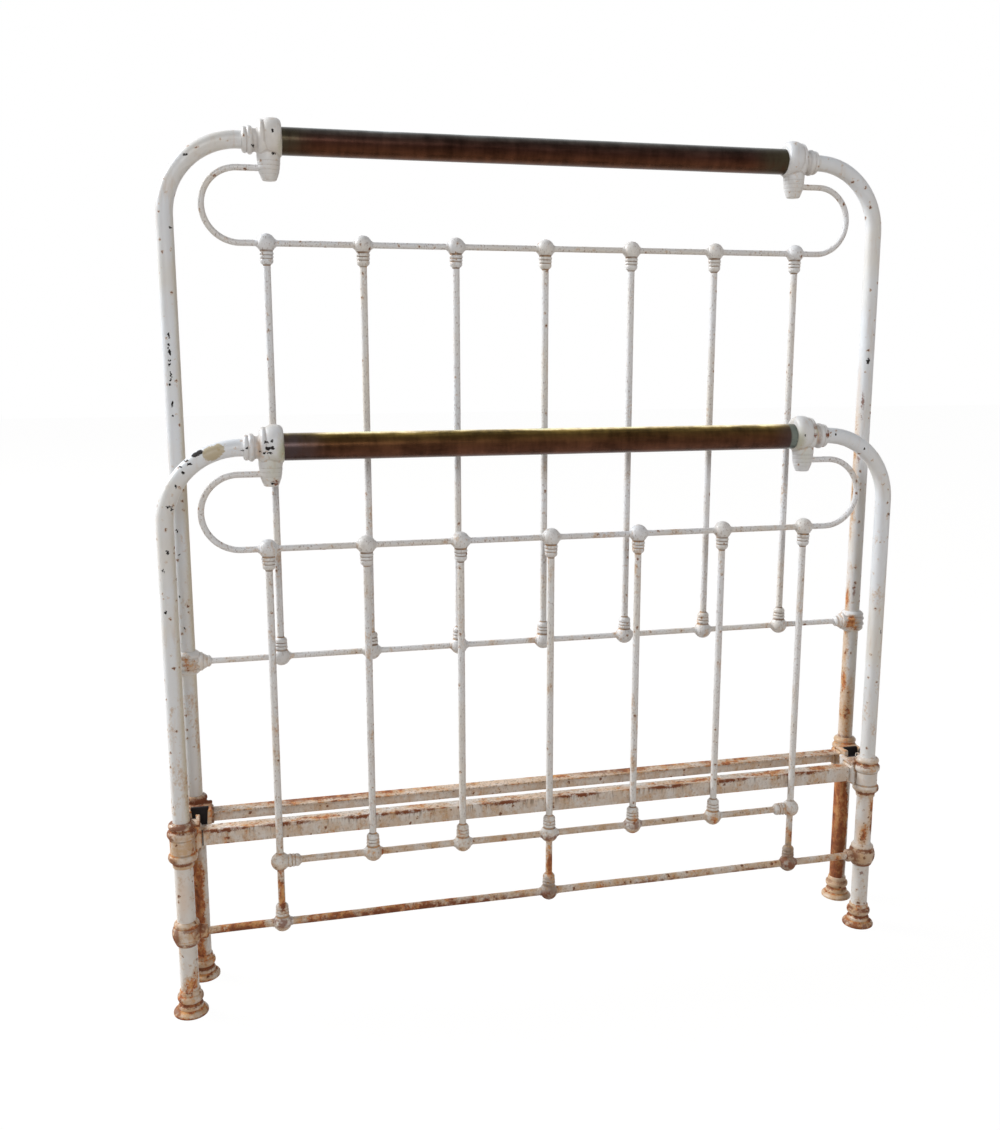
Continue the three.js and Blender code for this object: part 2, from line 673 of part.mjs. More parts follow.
function drawBottomCasting(side) {
  const profile = [
    [0, -BOTTOM_HUB_BOTTOM],
    [CORNER_NECK_RADIUS, -BOTTOM_HUB_BOTTOM],
    [CORNER_RADIUS, -BOTTOM_HUB_BOTTOM + HUB_SHOULDER],
    [BOTTOM_HUB_RADIUS, -BELLY_HALF_HEIGHT],
    [BOTTOM_HUB_RADIUS, BELLY_HALF_HEIGHT],
    [CORNER_RADIUS, BOTTOM_HUB_TOP - HUB_SHOULDER],
    [CORNER_NECK_RADIUS, BOTTOM_HUB_TOP],
    [0, BOTTOM_HUB_TOP],
  ];
  const arm = [
    [0, 0],
    [BOTTOM_BOSS_RADIUS, 0],
    [BOTTOM_BOSS_RADIUS, BOTTOM_BOSS_REACH - BOSS_ROUNDING],
    [BOTTOM_BOSS_RADIUS - BOSS_ROUNDING / 2, BOTTOM_BOSS_REACH],
    [0, BOTTOM_BOSS_REACH],
  ];
  return drawHub(side, FOOT_BOTTOM_ROD_HEIGHT, profile, arm, legRadius, bottomRodRadius, BOTTOM_BOSS_REACH);
}

function drawAngleIron() {
  return angleBar(-angleEnd, angleEnd, 0);
}

// Assembly

const SIDES = [['left', -1], ['right', 1]];

// What both ends share. The head end is drawn facing the foot end, so it is turned round and its
// left is drawn on its right.
function addCommonPieces(prefix, parent, railHeight, loopRadius, mirrored) {
  for (const [sideName, seenSide] of SIDES) {
    const side = mirrored ? -seenSide : seenSide;
    addPiece(`${prefix}_post_${sideName}`, drawPost(side, railHeight), 'paint', parent);
    addPiece(`${prefix}_leg_${sideName}`, drawLeg(side), 'rustyPaint', parent);
    addPiece(`${prefix}_rail_casting_${sideName}`, drawRailCasting(side, railHeight), 'paint', parent);
    addPiece(`${prefix}_corner_casting_${sideName}`, drawCornerCasting(side), 'rustyPaint', parent);
    addPiece(`${prefix}_foot_casting_${sideName}`, drawFoot(side), 'rustyPaint', parent);
  }
  addPiece(`${prefix}_brass_rail`, drawBrassRail(railHeight), 'brass', parent);
  addPiece(`${prefix}_rail_core`, drawRailCore(railHeight), 'iron', parent);
  addPiece(`${prefix}_loop_rod`, drawLoopRod(railHeight, loopRadius), 'paint', parent);
  addPiece(`${prefix}_angle_iron`, drawAngleIron(), 'rustyPaint', parent);
}

const footEnd = new THREE.Group();
footEnd.position.set(-END_STAGGER / 2, -END_SPACING / 2, 0);
bed.add(footEnd);
addCommonPieces('footboard', footEnd, FOOT_RAIL_HEIGHT, FOOT_LOOP_RADIUS, false);
places.forEach((place, index) => {
  const spindle = addPiece(`footboard_spindle_${index + 1}`, drawFootSpindle(place), 'paint', footEnd);
  spindle.position.x = place * spindlePitch;
});
stubPlaces.forEach((place, index) => {
  const stub = addPiece(`footboard_stub_${index + 1}`, drawStub(), 'shadedPaint', footEnd);
  stub.position.x = place * spindlePitch;
});
const lowerRodReach = outerSpindle - END_COLLAR_REACH + LOWER_ROD_GRIP;
const lowerRod = drawCrossRod(lowerRodRadius, lowerRodHeight, lowerRodReach);
addPiece('footboard_lower_rod', lowerRod, 'shadedPaint', footEnd);
const bottomRodReach = postPlace - legRadius - HUB_CLEAR_WALL;
const bottomRod = drawCrossRod(bottomRodRadius, FOOT_BOTTOM_ROD_HEIGHT, bottomRodReach);
addPiece('footboard_bottom_rod', bottomRod, 'rustyPaint', footEnd);
for (const [sideName, side] of SIDES) {
  addPiece(`footboard_bottom_casting_${sideName}`, drawBottomCasting(side), 'rustyPaint', footEnd);
}

const headEnd = new THREE.Group();
headEnd.position.set(END_STAGGER / 2, END_SPACING / 2, 0);
headEnd.rotation.z = Math.PI;
bed.add(headEnd);
addCommonPieces('headboard', headEnd, HEAD_RAIL_HEIGHT, HEAD_LOOP_RADIUS, true);
places.forEach((place, index) => {
  const spindle = addPiece(`headboard_spindle_${index + 1}`, drawHeadSpindle(), 'paint', headEnd);
  spindle.position.x = -place * spindlePitch;
});
const midRodReach = postPlace - postRadius - HUB_CLEAR_WALL;
const midRod = drawCrossRod(midRodRadius, HEAD_MID_ROD_HEIGHT, midRodReach);
addPiece('headboard_mid_rod', midRod, 'shadedPaint', headEnd);
for (const [sideName, seenSide] of SIDES) {
  addPiece(`headboard_mid_casting_${sideName}`, drawMidCasting(-seenSide), 'paint', headEnd);
}

export default bed;
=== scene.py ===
# %% [markdown]
# # A brass and iron bedstead
# The two ends of an old double bed stand close together: a low foot end in front and a tall head end
# behind it. This notebook dresses the measured model of the bed, piece by piece, until it looks like
# painted iron that has chipped and rusted. It starts with the measured model, which stays where it is.

# %% Load the measured model
import bpy
import math
from functools import partial
from mathutils import Matrix, Vector


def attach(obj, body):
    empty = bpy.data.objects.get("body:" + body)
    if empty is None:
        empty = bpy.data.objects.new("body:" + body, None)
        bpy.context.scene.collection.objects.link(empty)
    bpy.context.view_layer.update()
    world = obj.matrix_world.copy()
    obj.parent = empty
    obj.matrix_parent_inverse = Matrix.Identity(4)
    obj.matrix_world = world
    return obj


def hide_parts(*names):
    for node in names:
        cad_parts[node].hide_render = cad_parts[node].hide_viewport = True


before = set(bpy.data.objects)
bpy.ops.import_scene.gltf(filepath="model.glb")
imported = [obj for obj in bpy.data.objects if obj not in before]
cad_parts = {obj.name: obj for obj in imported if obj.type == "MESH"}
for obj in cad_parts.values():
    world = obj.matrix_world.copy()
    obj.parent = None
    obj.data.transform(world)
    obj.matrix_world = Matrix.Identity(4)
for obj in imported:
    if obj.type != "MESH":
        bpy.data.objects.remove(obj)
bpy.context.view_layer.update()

# %% [markdown]
# The sizes below are those of the measured model, in millimetres, and every piece takes its place from
# them. Each end is drawn in its own plane, with its middle at zero and the other end of the bed in the
# direction of +Y, and is then set in its place, HALF_APART and HALF_ASIDE from the middle of the whole.
# The head end is turned round to face the foot end, so what is drawn on its left ends up on the right.
# `corners` keeps this in mind: its last value is -1 for what is drawn on the left and 1 on the right.

# %% Main sizes and the place of each end
mm = 0.001
POST_PLACE, POST_RADIUS, POST_BEND = 686, 15.1, 130
LEG_RADIUS = 16.7
BRASS_END, BRASS_RADIUS = 482, 23.8
BARREL_LIFT = 5.5
LUG_PLACE = 505
LOOP_DROP, LOOP_PLACE = 46, 560
SPINDLE_PITCH, SPINDLE_RADIUS = 171.5, 6.5
ANGLE_TOP = 348
SOCKET_PLACE, SOCKET_HEIGHT = 9, 343
FOOT_RAIL, FOOT_LOOP = 1037, 65.5
HEAD_RAIL, HEAD_LOOP = 1560, 63.5
FOOT_UPPER = FOOT_RAIL - LOOP_DROP - 2 * FOOT_LOOP
HEAD_UPPER = HEAD_RAIL - LOOP_DROP - 2 * HEAD_LOOP
HEAD_MID, FOOT_LOWER, FOOT_BOTTOM = 632, 277, 157
THIN_ROD, LOWER_ROD, BOTTOM_ROD = 5.55, 6.35, 7.15
HALF_ASIDE, HALF_APART = 11, 63

foot_end = Matrix.Translation((-HALF_ASIDE * mm, -HALF_APART * mm, 0))
head_end = Matrix.Translation((HALF_ASIDE * mm, HALF_APART * mm, 0)) @ Matrix.Rotation(math.pi, 4, "Z")
corners = [(end, side, where, way if end == "footboard" else -way)
           for end, where in (("footboard", foot_end), ("headboard", head_end))
           for side, way in (("left", -1), ("right", 1))]
spindle_places = {number: (number - 4) * SPINDLE_PITCH for number in range(1, 8)}
first_x, middle_x, last_x = (spindle_places[number] for number in (1, 4, 7))
print("upper rods at", FOOT_UPPER, "and", HEAD_UPPER, "mm")

# %% [markdown]
# ## The camera
# The photograph was taken from in front of the left post, at about the height of a seated person's
# eyes, and looks a little down and to the right. The lens is a moderate wide angle. The place, the
# turn and the lens were worked out from the two ends, which are parallel and of one width.

# %% Set the camera
CAMERA_PLACE = (-0.6104, -2.0787, 1.2017)
LOOKS_DOWN, LEANS, LOOKS_RIGHT = 10.626, 0.061, 13.985
camera_data = bpy.data.cameras.new("photo_camera")
camera_data.sensor_width = 36
camera_data.lens = 36.61
camera_data.clip_end = 60
camera = bpy.data.objects.new("photo_camera", camera_data)
bpy.context.scene.collection.objects.link(camera)
camera.location = CAMERA_PLACE
camera.rotation_euler = [math.radians(angle) for angle in (90 - LOOKS_DOWN, LEANS, -LOOKS_RIGHT)]
bpy.context.scene.camera = camera
bpy.context.scene.view_settings.view_transform = "Standard"
print("camera", round(camera_data.lens, 2), "mm")

# %% [markdown]
# ## Turned shapes
# Cast collars, knuckles and feet are round, as if turned on a lathe. By hand, one adds a circle, then
# extrudes it upwards and scales it again and again, ring by ring. `turned` does just that from a list
# of rings, each a radius and a height. A flat circle that is extruded keeps its cap at both ends, so
# the shape comes out closed. The bent and straight tubes start and end in the same way.

# %% Helpers for drawing one piece
def select_only(*pieces):
    bpy.ops.object.select_all(action="DESELECT")
    for piece in pieces:
        piece.select_set(True)
    bpy.context.view_layer.objects.active = pieces[0]


def circle(radius, sides, place, across=False, fill="NGON"):
    """Starts a piece in edit mode: a circle that lies flat, or one that stands across the X axis."""
    bpy.ops.object.select_all(action="DESELECT")
    bpy.ops.mesh.primitive_circle_add(vertices=sides, radius=radius * mm, fill_type=fill, location=(0, 0, 0),
                                      rotation=(0, math.pi / 2 if across else 0, 0))
    bpy.ops.object.transform_apply(location=True, rotation=True, scale=True)
    bpy.ops.object.mode_set(mode="EDIT")
    bpy.ops.mesh.select_all(action="SELECT")
    bpy.ops.transform.translate(value=[v * mm for v in place])
    return bpy.context.object


def pull(x=0, y=0, z=0):
    """Extrudes what is selected by a step in millimetres."""
    bpy.ops.mesh.extrude_region_move(TRANSFORM_OT_translate={"value": (x * mm, y * mm, z * mm)})


def bend(degrees, steps, x, z):
    """Spins what is selected round a point of the end's plane."""
    bpy.ops.mesh.spin(steps=steps, angle=math.radians(degrees), center=(x * mm, 0, z * mm), axis=(0, 1, 0))


def closed(piece):
    """Turns all faces outwards and leaves edit mode."""
    bpy.ops.mesh.select_all(action="SELECT")
    bpy.ops.mesh.normals_make_consistent(inside=False)
    bpy.ops.object.mode_set(mode="OBJECT")
    return piece


def turned(rings, sides):
    """A closed shape up the Z axis, from rings of [radius, height] in millimetres."""
    radius, height = rings[0]
    piece = circle(radius, sides, (0, 0, height))
    for next_radius, next_height in rings[1:]:
        pull(z=next_height - height)
        share = next_radius / radius
        bpy.ops.transform.resize(value=(share, share, 1), center_override=(0, 0, 0))
        radius, height = next_radius, next_height
    return closed(piece)


# %% [markdown]
# A piece is moved in its mesh, and not as an object, so that every object stays at the origin and the
# patterns of its finish stay in place. A mirrored mesh is inside out, so its faces are flipped back.

# %% Helpers for moving and copying
def moved(piece, place):
    piece.data.transform(place)
    if place.determinant() < 0:
        piece.data.flip_normals()
    piece.data.update()
    return piece


def copied(piece, place):
    twin = piece.copy()
    twin.data = piece.data.copy()
    bpy.context.scene.collection.objects.link(twin)
    return moved(twin, place)


def shifted(x=0, y=0, z=0):
    return Matrix.Translation((x * mm, y * mm, z * mm))


as_drawn = Matrix.Identity(4)
along_x = Matrix.Rotation(math.pi / 2, 4, "Y")
mirror_x = Matrix.Scale(-1, 4, (1, 0, 0))
half_turn = Matrix.Rotation(math.pi, 4, "Z")


def joined(*parts):
    select_only(*parts)
    bpy.ops.object.join()
    return parts[0]


# %% [markdown]
# ## Castings
# The joints are iron, poured into a mould round the ends of the tubes, and thick paint has softened
# them further. So a casting is first put together from simple closed shapes that run into each other.
# A voxel remesh then melts them into one skin, and a little smoothing rounds the inner corners as sand
# and paint do. A boolean would leave them knife-sharp.

# %% Helpers for castings
def modified(piece, kind, **settings):
    """Adds a modifier, sets it and applies it."""
    select_only(piece)
    bpy.ops.object.modifier_add(type=kind)
    modifier = piece.modifiers[-1]
    for name, value in settings.items():
        setattr(modifier, name, value)
    bpy.ops.object.modifier_apply(modifier=modifier.name)
    return piece


def cast(piece, grain):
    modified(piece, "REMESH", mode="VOXEL", voxel_size=grain * mm, use_smooth_shade=True)
    return modified(piece, "SMOOTH", factor=0.5, iterations=2)


def weathered_and_shaded(piece, rounds=2):
    """Writes at each point how the skin bends there: 0 in a groove, 0.5 where flat, 1 on an edge."""
    mesh = piece.data
    neighbours = [[] for vertex in mesh.vertices]
    bends = [[] for vertex in mesh.vertices]
    for edge in mesh.edges:
        first, second = edge.vertices
        step = mesh.vertices[second].co - mesh.vertices[first].co
        nearness = 2 * mm / max(step.length_squared, 1e-8)
        neighbours[first].append(second)
        neighbours[second].append(first)
        bends[first].append(step.dot(mesh.vertices[first].normal) * nearness)
        bends[second].append(-step.dot(mesh.vertices[second].normal) * nearness)
    values = [min(max(0.5 - (max(bend) + min(bend)), 0.0), 1.0) for bend in bends]
    for turn in range(rounds):
        values = [(values[here] + sum(values[there] for there in near)) / (1 + len(near))
                  for here, near in enumerate(neighbours)]
    layer = mesh.color_attributes.new("hollow", "FLOAT_COLOR", "POINT")
    for point, value in zip(layer.data, values):
        point.color = (value, value, value, 1)
    return piece


# %% [markdown]
# A finished piece is named after the measured one that it stands for, rides on the bed's one body and
# says what it is coated with. What repeats is drawn once, and a copy goes to each of its places. A few
# pieces have another finish than their fellows, and `special_coats` lists those by name.

# %% Helpers for finished pieces
finished = []
special_coats = {}


def finish(piece, node, coat, sharp_edge=40):
    """Names and coats a piece. Edges sharper than the given angle stay crisp."""
    select_only(piece)
    bpy.ops.object.shade_smooth_by_angle(angle=math.radians(sharp_edge))
    piece.name = node + "_worn"
    piece.data.materials.clear()
    piece.data.materials.append(special_coats.get(node, coat))
    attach(piece, "root")
    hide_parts(node)
    finished.append(piece)


def set_out(model, coat, places):
    """Finishes a copy of the model at each place, from {name: place}, and removes the model."""
    for node, place in places.items():
        finish(copied(model, place), node, coat)
    print(*places, "set out,", len(model.data.polygons), "faces each")
    bpy.data.objects.remove(model)


def at_posts(name, height=0, left=as_drawn, right=as_drawn, ends=("footboard", "headboard")):
    """A place at each post of the ends. Left and right say how what is drawn is turned on that side."""
    turn = {-1: left, 1: right}
    return {f"{end}_{name}_{side}": where @ shifted(way * POST_PLACE, 0, height) @ turn[way]
            for end, side, where, way in corners if end in ends}


# %% [markdown]
# ## Finishes
# Old paint on iron is several things at once: a cream gloss that has yellowed and stained, small dark
# chips where it was knocked, and rust that creeps out of joints and rises from the floor. Each is a
# mask, and the masks mix colours, roughness and height. The patterns read Object coordinates, which
# here are the bed's own metres, so a stain keeps its size on every piece and no two pieces match.

# %% Helpers for material nodes
def add_node(tree, kind, inputs=(), **settings):
    """Adds a node, sets its options, and fills or links its sockets by name or number."""
    made = tree.nodes.new("ShaderNode" + kind)
    for option, value in settings.items():
        setattr(made, option, value)
    for socket, value in dict(inputs).items():
        if isinstance(value, bpy.types.NodeSocket):
            tree.links.new(value, made.inputs[socket])
        else:
            made.inputs[socket].default_value = value
    return made


def tree_of(*values):
    """The node tree that the values come from. One of them at least is a node's output."""
    return next(value.id_data for value in values if isinstance(value, bpy.types.NodeSocket))


def worked(kind, *values, **settings):
    """Fills a new node's sockets in order and gives its first output."""
    return add_node(tree_of(*values), kind, enumerate(values), **settings).outputs[0]


maths = partial(worked, "Math")
vectors = partial(worked, "VectorMath")
plus, minus, times, divided, most = (
    partial(maths, operation=kind) for kind in ("ADD", "SUBTRACT", "MULTIPLY", "DIVIDE", "MAXIMUM"))


def between(value, low, high, to_low=0.0, to_high=1.0):
    """Rises smoothly from one value to another as the input goes from low to high."""
    return worked("MapRange", value, low, high, to_low, to_high, interpolation_type="SMOOTHSTEP")


def noise(place, scale, detail=3.0, rough=0.5, squeeze=None):
    """Cloudy noise. A squeeze below 1 along an axis draws the clouds out that way."""
    if squeeze:
        place = vectors(place, squeeze, operation="MULTIPLY")
    made = add_node(tree_of(place), "TexNoise",
                    {"Vector": place, "Scale": scale, "Detail": detail, "Roughness": rough})
    return made.outputs["Fac"]


def mixed(share, first, second, kind="MIX"):
    """Goes from the first colour to the second by a share."""
    return add_node(tree_of(share, first), "Mix", {0: share, 6: first, 7: second},
                    data_type="RGBA", blend_type=kind).outputs[2]


def ramp(value, stops):
    """A colour for each value, from a list of [position from 0 to 1, colour]."""
    made = add_node(tree_of(value), "ValToRGB", {0: value})
    points = made.color_ramp.elements
    while len(points) < len(stops):
        points.new(0.5)
    for point, (position, colour) in zip(points, stops):
        point.position = position
        point.color = colour if len(colour) == 4 else (*colour, 1)
    return made.outputs["Color"]


def grey(value):
    return (value, value, value, 1)


# %% [markdown]
# A zone is a place on the bed where something happens to the paint. Most zones are eggs, whose edge
# noise breaks up. The mouths of the side-rail sockets and the gaps beside them are boxes of painted
# shadow, near black.

# %% Helpers for zones
def zone_place(place, centre, reach):
    """Where a point lies in a zone: 0 in its middle, 1 away on its edge. Zones are in millimetres."""
    away = vectors(place, [v * mm for v in centre], operation="SUBTRACT")
    return vectors(away, [v * mm for v in reach], operation="DIVIDE")


def eggs(place, zones, core=0.8):
    """The largest of several egg-shaped zones, each a centre, half sizes and a strength."""
    total = None
    for centre, reach, strength in zones:
        inside = zone_place(place, centre, reach)
        far = add_node(tree_of(place), "VectorMath", {0: inside}, operation="LENGTH")
        egg = between(far.outputs["Value"], 1.0, core)
        if strength != 1:
            egg = times(egg, strength)
        total = egg if total is None else most(total, egg)
    return total


def box_zone(place, centre, reach):
    size = vectors(zone_place(place, centre, reach), operation="ABSOLUTE")
    x, y, z = add_node(tree_of(place), "SeparateXYZ", {0: size}).outputs
    return between(most(x, most(y, z)), 1.0, 0.9)


def frayed(place):
    """The place itself, shaken by fine noise, so that the edge of a zone is ragged."""
    wobble = add_node(tree_of(place), "TexNoise", {"Vector": place, "Scale": 300.0, "Detail": 2.0})
    shake = vectors(wobble.outputs["Color"], (0.5, 0.5, 0.5), operation="SUBTRACT")
    return vectors(shake, (0.008, 0.008, 0.008), place, operation="MULTIPLY_ADD")


def zone(way, x, z, wide, high, y=-14, deep=12, strength=1.0):
    return (x + way * HALF_ASIDE, y + way * HALF_APART, z), (wide, deep, high), strength


def on_ends(foot=(), head=()):
    """Zones on each end: x, height, half width, half height, and perhaps y, half depth and strength."""
    return [zone(-1, *row) for row in foot] + [zone(1, *row) for row in head]


# %% [markdown]
# The chips that stand out in the photograph are put where they are seen: a row of dark knocks down the
# head end's left post, a black patch beside a bare tan one on the foot end's left bend, and clusters
# on the rail castings.

# %% Where paint is knocked off, and where shadow is painted
knocks = [1226, 1211, 1205, 1197, 1183, 1176, 1158, 1150, 1141, 1108, 1087]
dark_chips = on_ends([
    (-632, 1029, 10, 6), (-624, 1033, 8, 6), (-646, 1018, 6, 2), (-651, 998, 4, 3), (-656, 1008, 5, 1.6),
    (-639, 1012, 5, 1.6), (-677, 941, 7, 1.8), (-672, 936, 3, 2), (-683, 863, 2.5, 4), (-664, 975, 2, 3),
    (-692, 832, 2, 3), (-692, 759, 2, 4), (-512, 1048, 4, 2.5, -28), (-503, 1049, 3, 3, -28),
    (-510, 1037, 5, 3, -30), (-502, 1038, 5, 3, -30), (-524, 1032, 3, 2.5, -28), (-516, 1029, 3, 2.5, -30),
    (-507, 1029, 5, 2, -30), (-552, 1034, 3, 2, -22), (-544, 1038, 2.5, 2, -22), (-503, 976, 4, 2.5, -18),
    (491, 1040, 1.5, 3, -30), (566, 1040, 2.5, 2.5), (630, 1011, 2, 3), (694, 880, 2, 3), (690, 640, 1.5, 4),
], [
    (-645, 1529, 5, 2.5), (-676, 1408, 2.5, 2.5), (-498, 1571, 2.5, 3, -30), (-495, 1536, 9, 4, -28),
    (-531, 1548, 3, 3, -18), (682, 1177, 3, 7), (-692, 881, 2, 3), (-690, 836, 2.5, 2), (-694, 760, 2, 3),
    (-688, 700, 2, 2),
    *((-688 - step % 3, height, 1.8, 2.5 if step % 3 else 6) for step, height in enumerate(knocks)),
])
bare_tan = on_ends([(-603, 1030, 17, 15), (-592, 1036, 12, 12)])
# Painted shadow: near-black boxes inside the four side-rail socket slots, and in the gaps on the foot end's
# angle iron beside its sleeves.
slot_shadows = [((side * (POST_PLACE - SOCKET_PLACE) + way * HALF_ASIDE, way * 20, SOCKET_HEIGHT), (17, 10, 23), 1.0)
         for side in (-1, 1) for way in (-1, 1)]
gap_shadows = [((side * 650.5 - HALF_ASIDE, -HALF_APART, 333), (wide, 12, 17), strength)
        for side, wide, strength in ((-1, 1.8, 0.8), (1, 1.0, 0.5))]
print(len(dark_chips), "chips")

# %% [markdown]
# The paint has three parts. The film is white where clean, cream where it has yellowed and towards the
# floor, with dirt in streaks where water ran. Rust grows where a noise rises above a limit, and the
# limit sinks low down, in rings where water stands, and in the grooves and on the crests, which the
# mesh's `hollow` attribute gives. The grooves are also darkened with dirt and painted shade. Dots are
# small chips with a stain round them. In each `between`, the first two numbers say where a mask
# starts and where it is full.

# %% The parts of the paint
WHITE, CREAM = (0.775, 0.795, 0.825, 1), (0.72, 0.665, 0.58, 1)
STAIN, WASH, PEACH = (0.54, 0.335, 0.172, 1), (0.62, 0.42, 0.255, 1), (0.76, 0.53, 0.36, 1)
# GRIME_AND_SHADE darkens the grooves as dirt and painted shade, and colours the brown runs under an edge.
GRIME_AND_SHADE, DIRT, SPECK = (0.22, 0.145, 0.095, 1), (0.27, 0.19, 0.135, 1), (0.19, 0.095, 0.05, 1)
# Below, the middle colour is the warm tint of painted shade down the posts' right sides.
VERDIGRIS, WARM_SIDE_SHADE, TAN = (0.40, 0.39, 0.21, 1), (0.66, 0.575, 0.42, 1), (0.47, 0.375, 0.215, 1)
# BARE_IRON_AND_SHADOW is the dark of bare iron in the chips, and also the near black of painted shadow.
# CRUST_AND_SHADE is dark scale, and on the low castings it is also painted shade.
BROWN, BARE_IRON_AND_SHADOW, CRUST_AND_SHADE = (0.15, 0.05, 0.026, 1), (0.018, 0.014, 0.014, 1), (0.20, 0.065, 0.028, 1)
RED_RUST, ORANGE, OCHRE = (0.30, 0.105, 0.045, 1), (0.50, 0.165, 0.058, 1), (0.68, 0.35, 0.14, 1)
TALLEST = 1.6


def paint_film(place, height, grime):
    yellowed = between(noise(place, 8.0, 4.0), 0.38, 0.72, 0.0, 0.65)
    low_down = between(height, 1.0, 0.1, 0.0, 0.5)
    paint = mixed(most(yellowed, low_down), WHITE, CREAM)
    dirt = between(noise(place, 75.0, 4.0, 0.6, (1, 1, 0.16)), 0.50, 0.78, 0.0, 0.32)
    if grime:
        dirt = most(dirt, between(noise(place, 45.0, 5.0, 0.6), 0.34, 0.66, grime * 0.35, grime))
    return mixed(dirt, paint, STAIN)


def rust_growth(place, share):
    """How far the rust has grown past its limit: above 0 is rust, just below 0 its stain."""
    bloom = noise(place, 38.0, 7.0, 0.66, (1, 1, 0.5))
    fine = noise(place, 190.0, 5.0, 0.65)
    return minus(plus(times(bloom, 0.7), times(fine, 0.3)), minus(1.0, share))


def small_dots(ragged, dots):
    """The dots and the stains round them."""
    cell = add_node(tree_of(ragged), "TexVoronoi", {"Vector": ragged, "Scale": 75.0}, feature="F1")
    chance = worked("SeparateColor", cell.outputs["Color"])
    size = between(chance, 0.25, 1.0, 0.0, dots)
    spare = minus(size, cell.outputs["Distance"])
    stain = times(between(spare, -0.16, 0.02, 0.0, 0.55), between(size, 0.02, 0.1))
    return between(spare, 0.0, 0.05), stain


def new_finish(name):
    material = bpy.data.materials.new(name)
    material.use_nodes = True
    material.node_tree.nodes.clear()
    return material, add_node(material.node_tree, "TexCoord").outputs["Object"]


def finish_shader(colour, roughness, relief, strength, depth, more):
    """Joins colour, roughness and relief in one shader. The relief's depth is in metres."""
    tree = tree_of(colour)
    bump = add_node(tree, "Bump", {"Height": relief, "Strength": strength, "Distance": depth})
    shader = add_node(tree, "BsdfPrincipled", {
        "Base Color": colour, "Roughness": roughness, "Normal": bump.outputs[0], **more})
    add_node(tree, "OutputMaterial", {"Surface": shader.outputs[0]})


# %% [markdown]
# The same paint is needed in several strengths: clean and glossy high up, speckled on the thin rods,
# and half eaten by rust near the floor. `rust` says how much of the surface rusts at each height in
# metres, `bands` are heights of rings in millimetres, and `patches` are zones of more rust. The tints
# yellow, brown or green a zone of the paint, and on the posts' right sides they paint warm shade.
# `drips` is the height of an edge from which brown runs come down. `bare` zones show a tan undercoat,
# and the crusts are zones of thick dark scale, which on the low castings also paint the shade on their
# rings. The last argument holds boxes of painted shadow, near black. Crusts, chips and these boxes
# come last, because they go through everything.

